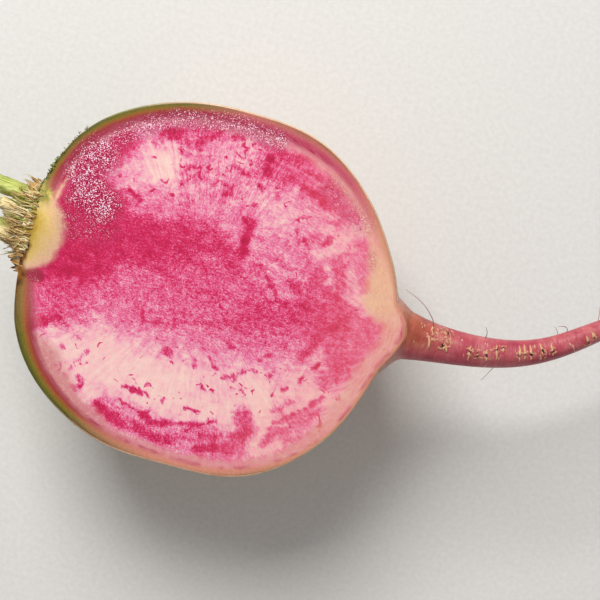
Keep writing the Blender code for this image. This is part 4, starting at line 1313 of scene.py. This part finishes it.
def radish_skin():
    """Washed radish skin: thin and taut with a faint gloss, green where the light reached it, rosy at the
    tap root, with fine lines and pale dashes across it and a few brown specks."""
    material, tree = new_material("radish_skin")
    place = add(tree, "TexCoord", output="Object")
    mm = add(tree, "VectorMath", {0: place, "Scale": MM}, operation="SCALE")
    axial = add(tree, "Attribute", attribute_name="axial", output="Fac")
    skin_tints = add(tree, "Attribute", attribute_name="skin_tints", output="Vector")
    across, tints = (add(tree, "SeparateXYZ", [way]).node.outputs for way in (mm, skin_tints))
    ringed = add(tree, "CombineXYZ", (axial, across["Y"], across["Z"]))
    # Each pattern's way, its grains to the millimetre, detail, roughness and distortion.
    lines, dashes, mottle, specks = (
        add(tree, "TexNoise", {
            "Vector": add(tree, "VectorMath", (way, per_mm), operation="MULTIPLY"),
            "Scale": 1.0, "Detail": detail, "Roughness": roughness, "Distortion": distortion})
        for way, per_mm, detail, roughness, distortion in (
            (ringed, (2.0, 0.24, 0.24), 4.0, 0.65, 0.8),
            (ringed, (1.5, 0.45, 0.45), 1.0, 0.5, 0.0),
            (mm, (0.22, 0.22, 0.22), 5.0, 0.6, 0.0),
            (mm, (1.6, 1.6, 1.6), 2.0, 0.5, 0.0)))
    # The green stops are dark: the shoulder's own green, darkened as painted shade for the edge of the cut,
    # where the skin rounds over.
    colour, green, rose, rust = (
        add(tree, "ValToRGB", [mottle], stops=stops) for stops in (
            ((0.30, "#D2A07E"), (0.45, "#DCB08C"), (0.58, "#E2BE9C"), (0.72, "#E6C8A8")),
            ((0.30, "#424A0C"), (0.48, "#616714"), (0.60, "#7C8026"), (0.74, "#A09C4E")),
            ((0.32, "#A83A4E"), (0.46, "#B84C58"), (0.56, "#C26066"), (0.70, "#CE7A7C")),
            ((0.35, "#A04A30"), (0.55, "#B46240"), (0.70, "#C87E5A"))))
    line_shade, pale, speck = (
        add(tree, "MapRange", row) for row in (
            (lines, 0.35, 0.65, 0.86, 1.09), (dashes, 0.70, 0.78, 0.0, 0.55), (specks, 0.72, 0.80, 0.0, 0.6)))
    for share, coat in ((tints["X"], green), (tints["Y"], rose), (tints["Z"], rust)):
        colour = add(tree, "Mix", {0: share, 6: colour, 7: coat}, data_type="RGBA", output=2)
    colour = add(tree, "VectorMath", {0: colour, "Scale": line_shade}, operation="SCALE")
    for share, coat in ((pale, "#F0D2B8"), (speck, "#7A4424")):
        colour = add(tree, "Mix", {0: share, 6: colour, 7: coat}, data_type="RGBA", output=2)
    height = add(tree, "Math", (lines, dashes), operation="ADD")
    bump = add(tree, "Bump", {"Height": height, "Strength": 0.35, "Distance": 0.0003})
    add(tree, "OutputMaterial", {"Surface": add(tree, "BsdfPrincipled", {
        "Base Color": colour, "Roughness": 0.36, "IOR": 1.45, "Normal": bump, "Specular IOR Level": 0.45,
        "Subsurface Weight": 0.08, "Subsurface Scale": 0.001})})
    return material


def stalk_tissue(name, pale, middle, dark, end, roughness):
    """Leaf stalk tissue: streaked along its fibres, with painted shade in the grooves between its ribs, and
    spongy where it was cut.
    """
    material, tree = new_material(name)
    place = add(tree, "TexCoord", output="Object")
    tone = add(tree, "Attribute", attribute_name="tone", output="Vector")
    tone = add(tree, "SeparateXYZ", [tone]).node.outputs
    along = add(tree, "VectorMath", (place, (0.25 * MM, 2.2 * MM, 2.2 * MM)), operation="MULTIPLY")
    streaks = add(tree, "TexNoise", {"Vector": along, "Scale": 1.0, "Detail": 4.0, "Roughness": 0.6})
    # The rib's height from the tone darkens the grooves: painted shade.
    shade = add(tree, "Math", (tone["Y"], 0.35, streaks), operation="MULTIPLY_ADD")
    fibres = add(tree, "ValToRGB", [shade], stops=((0.38, dark), (0.55, middle), (0.72, pale), (0.95, pale)))
    grain = add(tree, "TexVoronoi", {"Vector": place, "Scale": 4.0 * MM})
    spongy = add(tree, "ValToRGB", [grain], stops=((0.0, dark), (0.35, end), (0.8, pale)))
    colour = add(tree, "Mix", {0: tone["Z"], 6: fibres, 7: spongy}, data_type="RGBA", output=2)
    bump = add(tree, "Bump", {"Height": streaks, "Strength": 0.5, "Distance": 0.0003})
    add(tree, "OutputMaterial", {"Surface": add(tree, "BsdfPrincipled", {
        "Base Color": colour, "Roughness": roughness, "Normal": bump, "Specular IOR Level": 0.4,
        "Subsurface Weight": 0.1, "Subsurface Scale": 0.0006})})
    return material


def torn_fibre(name, dark, middle, pale):
    """Torn, dried fibre. Each strand has its own shade, and its tip is browner."""
    material, tree = new_material(name)
    place = add(tree, "TexCoord", output="Object")
    tone = add(tree, "Attribute", attribute_name="tone", output="Vector")
    tone = add(tree, "SeparateXYZ", [tone]).node.outputs
    speckle = add(tree, "TexNoise", {"Vector": place, "Scale": 2.0 * MM, "Detail": 3.0})
    shade = add(tree, "Math", (speckle, 0.5, tone["Y"]), operation="MULTIPLY_ADD")
    dried = add(tree, "Math", (tone["X"], -0.3, shade), operation="MULTIPLY_ADD")
    colour = add(tree, "ValToRGB", [dried], stops=((0.1, dark), (0.55, middle), (1.0, pale)))
    add(tree, "OutputMaterial", {"Surface": add(tree, "BsdfPrincipled", {
        "Base Color": colour, "Roughness": 0.5, "Specular IOR Level": 0.4})})
    return material


def scar_cork():
    """Cork over the scars of rootlets: brown and ragged, with cream ridges and dark brown cracks, painted
    near-black as shade.
    """
    material, tree = new_material("rootlet_scar_cork")
    place = add(tree, "TexCoord", output="Object")
    tone = add(tree, "Attribute", attribute_name="tone", output="Vector")
    tone = add(tree, "SeparateXYZ", [tone]).node.outputs
    speckle = add(tree, "TexNoise", {"Vector": place, "Scale": 3.0 * MM, "Detail": 4.0, "Roughness": 0.7})
    shade = add(tree, "Math", (speckle, 1.1, tone["Y"]), operation="MULTIPLY_ADD")
    # The last two stops share a place, so the palest flakes have a hard edge.
    cork = add(tree, "ValToRGB", [shade], stops=(
        (0.25, "#1E0A08"), (0.60, "#4A2012"), (0.95, "#86522E"), (1.00, "#B07850"), (1.00, "#D09A78")))
    ridge = add(tree, "MapRange", (tone["X"], 0.15, 0.75, 0.0, 1.0))
    colour = "#BC5A58"
    for share, coat in ((tone["Z"], cork), (ridge, "#DEAE84")):
        colour = add(tree, "Mix", {0: share, 6: colour, 7: coat}, data_type="RGBA", output=2)
    add(tree, "OutputMaterial", {"Surface": add(tree, "BsdfPrincipled", {
        "Base Color": colour, "Roughness": 0.6, "Specular IOR Level": 0.3})})
    return material


def paint_root(root, xs):
    """Stores what the root's materials read at each vertex. All distances are in millimetres."""
    mesh = root.data
    count = len(mesh.vertices)
    points = np.empty(count * 3)
    mesh.vertices.foreach_get("co", points)
    points = points.reshape(-1, 3) * MM
    x, y, z = points.T
    left, right = (
        np.column_stack((xs, middle_y(xs) + side * root_radius(xs) * np.cos(rim_turn(xs, side)))) * MM
        for side in (1, -1))
    rim = np.vstack((left, right[::-1]))[::2]
    on_face = (z > CUT_Z * MM - 0.5) & (x < xs[-1] * MM + 0.5)
    depth, pigment, wavy, uneven = np.zeros((4, count))
    depth[on_face] = distance_to(np.vstack((rim, rim[:1])), x[on_face], y[on_face])
    pigment[on_face] = flesh_pigment(points[on_face])
    wavy[on_face] = wander(points[on_face], 4.0, 7)
    uneven[on_face] = wander(points[on_face], 1.1, 8)
    inside = np.clip(x / MM, PLATE_X, xs[-1])
    half = np.sqrt(np.maximum(root_radius(inside) ** 2 - CUT_ABOVE_AXIS**2, 1e-6)) * MM
    off = (y - middle_y(inside) * MM) / half
    out = np.hypot(x, y)
    turn = np.arctan2(y, x)
    angle = np.degrees(turn)
    level = np.zeros(count)
    store(mesh, "pigment", pigment)
    store(mesh, "vessel_way", x, off * VESSEL_SPREAD, level)
    store(mesh, "ray_way", turn * RAY_SPREAD, out, level)

    # The rind and the ring under it, broken up on the right side, with the bruise as a part of the ring.
    degrees, *columns = zip(*RIND)
    ring_at, thick, strength, reach = (np.interp(angle, degrees, column) for column in columns)
    dashes = np.where(y < 0, smooth_step(0.5 + 1.6 * wavy), 1.0)
    ring = np.exp(-(((depth + 0.15 * wavy - ring_at) / thick) ** 2)) * strength * dashes
    ring = np.maximum(ring, smooth_step((1.9 + 1.2 * uneven - distance_to(BRUISE, x, y)) / 1.4) * on_face)
    within = smooth_step(0.5 + (ring_at + reach - depth + 0.8 * wavy) / np.minimum(0.9 * reach, 3.0))
    store(mesh, "rind", depth / ring_at, ring, within * from_stations(BAND_RIM, angle))
    store(mesh, "rim_tints", *(from_stations(tint, angle) for tint in (GREEN_RIM, TAN_RIM, ROSE_RIM)))
    # Painted shade on the band inside the ring, by its place round the rim.
    store(mesh, "band_shade", from_stations(BAND_SHADE_RIM, angle))
    store(mesh, "warm", 0.20 * smooth_step((out - 16) / 22) * smooth_step((x - 4) / 22))
    # How wet the cut is, which also places the painted glints and the painted shade in the pits.
    wet_and_glints = np.zeros(count)
    for wetness, half_width, soft, path in WET_AND_GLINTS:
        wet_and_glints = np.maximum(wet_and_glints, wetness * smooth_step((half_width + soft - distance_to(path, x, y)) / soft))
    store(mesh, "wet_and_glints", wet_and_glints)

    # The crown: olive at its left, brown at its right, and the stretches of the face whose grain is rayed.
    brown = smooth_step((-36.6 + 0.8 * wavy - x) / 1.2) * smooth_step((-0.5 + wavy - y) / 1.5)
    olive = smooth_step((y - 4.5 + 1.2 * wavy) / 4.0) * smooth_step((-34.6 + 0.6 * wavy - x) / 1.8)
    upper, lower = (
        smooth_step((out - start) / over) * smooth_step(one_side) * smooth_step(other_side)
        for start, over, one_side, other_side in (
            (13, 6, (angle - 55) / 20, (140 - angle) / 15), (12, 8, (-angle - 20) / 20, (angle + 172) / 20)))
    store(mesh, "crown_tints", olive, brown, np.maximum(upper, lower))
    crown = np.clip((from_stations(CROWN_EDGE, y) - x + 0.5 * wavy) / CROWN_DEPTH, 0.0, 1.0)
    narrow = 0.95 + 0.4 * wavy - 0.04 * np.maximum(y - 8.5, 0.0)
    strip = 0.26 * smooth_step((narrow - distance_to(CROWN_STRIP, x, y)) / 0.9) * on_face
    along = smooth_step((x - 12) / 14) * smooth_step((np.abs(off) - 0.1) / 0.4)
    rayed = np.maximum(0.65 * upper, 0.36 * lower)
    store(mesh, "marks", rayed, 0.40 + 0.05 * along, np.maximum(crown, strip))

    # The skin: green on the shoulder, rose on the tap root, and rust at the tap root's base, on its left.
    shoulder = smooth_step((-x - 8) / 22) * smooth_step((x + 42) / 4)
    rust = 0.8 * (smooth_step((x - 40) / 5) * smooth_step((55 - x) / 9) * smooth_step((y + 1.5) / 3.5))
    store(mesh, "skin_tints", shoulder, smooth_step((x - 36) / 12), rust)
    axial = x.copy()
    tail = np.array([(step[0] * MM, *(step[1] * MM)) for step in tail_frames(TAIL_STATIONS)])
    on_tail = np.flatnonzero(x > TAIL_BASE_X * MM)
    nearest = np.argmin([np.hypot(x[on_tail] - row[1], y[on_tail] - row[2]) for row in tail], axis=0)
    axial[on_tail] = TAIL_BASE_X * MM + tail[nearest, 0]
    store(mesh, "axial", axial)


def make_root():
    body, xs = root_body()
    root = body.object("radish_root", (radish_flesh(), radish_skin()))
    paint_root(root, xs)
    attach(root, "root")
    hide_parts("root")


def place_piece(body, name, material, replaced=None):
    """Makes a piece of the root's body, with its finish, and in place of a CAD node if it is named."""
    piece = body.object(name, (material,))
    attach(piece, "root")
    if replaced:
        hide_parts(replaced)


def dress_crown():
    tissue, fibre = {}, {}
    for slot, tissue_name, tissue_colours, roughness, fibre_name, fibre_colours in CROWN_FINISHES:
        tissue[slot] = stalk_tissue(tissue_name, *tissue_colours, roughness)
        fibre[slot] = torn_fibre(fibre_name, *fibre_colours)
    for number, row in enumerate(STALKS, start=1):
        slot = row[-1]
        place_piece(stalk_body(number, row), f"trimmed_stalk_{number:02d}", tissue[slot],
                    f"leaf_stalk_{number:02d}")
    for slot, body in crown_strands().items():
        place_piece(body, f"torn_fibres_{slot}", fibre[slot])
    place_piece(crown_flakes(), "leaf_scraps", fibre["dry_stalk"])
    for name, count, seed, stretch, inward, thick, finish, colours in TUFTS:
        place_piece(rim_tufts(count, seed, stretch, inward, thick), name, torn_fibre(finish, *colours))
    place_piece(small_bud(), "small_bud", fibre["pale_stalk"])


def dress_tail():
    place_piece(scar_patches(), "rootlet_scars", scar_cork())
    hair = torn_fibre("dry_rootlet", "#5A3028", "#8C5446", "#B88470")
    place_piece(rootlets(), "rootlets", hair)


def place_camera():
    data = bpy.data.cameras.new("camera")
    data.lens = LENS
    data.sensor_width = SENSOR_WIDTH
    camera = bpy.data.objects.new("camera", data)
    camera.location = (*VIEW_AT, VIEW_HEIGHT)
    camera.rotation_euler = (0.0, 0.0, VIEW_TURN)
    bpy.context.scene.collection.objects.link(camera)
    bpy.context.scene.camera = camera


def light_studio():
    """An even, pale surround, and one broad soft lamp above the left of the crown."""
    world = bpy.data.worlds.new("studio")
    world.use_nodes = True
    background = world.node_tree.nodes["Background"]
    background.inputs["Color"].default_value = hex_colour("#F4F4F6")
    background.inputs["Strength"].default_value = SURROUND
    bpy.context.scene.world = world
    bpy.context.scene.view_settings.view_transform = "Standard"
    data = bpy.data.lights.new("key", "AREA")
    data.size = KEY_SIZE
    data.energy = KEY_POWER
    light = bpy.data.objects.new("key", data)
    light.location = KEY_AT
    light.rotation_euler = (Vector((0.0, 0.0, CUT_Z)) - Vector(KEY_AT)).to_track_quat("-Z", "Y").to_euler()
    bpy.context.scene.collection.objects.link(light)


def lay_floor():
    """Matt painted board: pale, with no gloss to speak of."""
    material, tree = new_material("painted_board")
    place = add(tree, "TexCoord", output="Object")
    speckle = add(tree, "TexNoise", {"Vector": place, "Scale": 0.9 * MM, "Detail": 2.0})
    colour = add(tree, "ValToRGB", [speckle], stops=((0.3, "#DCD9D4"), (0.7, "#E3E1DC")))
    add(tree, "OutputMaterial", {"Surface": add(tree, "BsdfPrincipled", {
        "Base Color": colour, "Roughness": 0.8})})
    mesh = bpy.data.meshes.new("floor")
    corners = [(x * FLOOR_REACH, y * FLOOR_REACH, 0) for x, y in ((-1, -1), (1, -1), (1, 1), (-1, 1))]
    mesh.from_pydata(corners, [], [(0, 1, 2, 3)])
    mesh.materials.append(material)
    floor = bpy.data.objects.new("floor", mesh)
    bpy.context.scene.collection.objects.link(floor)


make_root()
dress_crown()
dress_tail()
place_camera()
light_studio()
lay_floor()
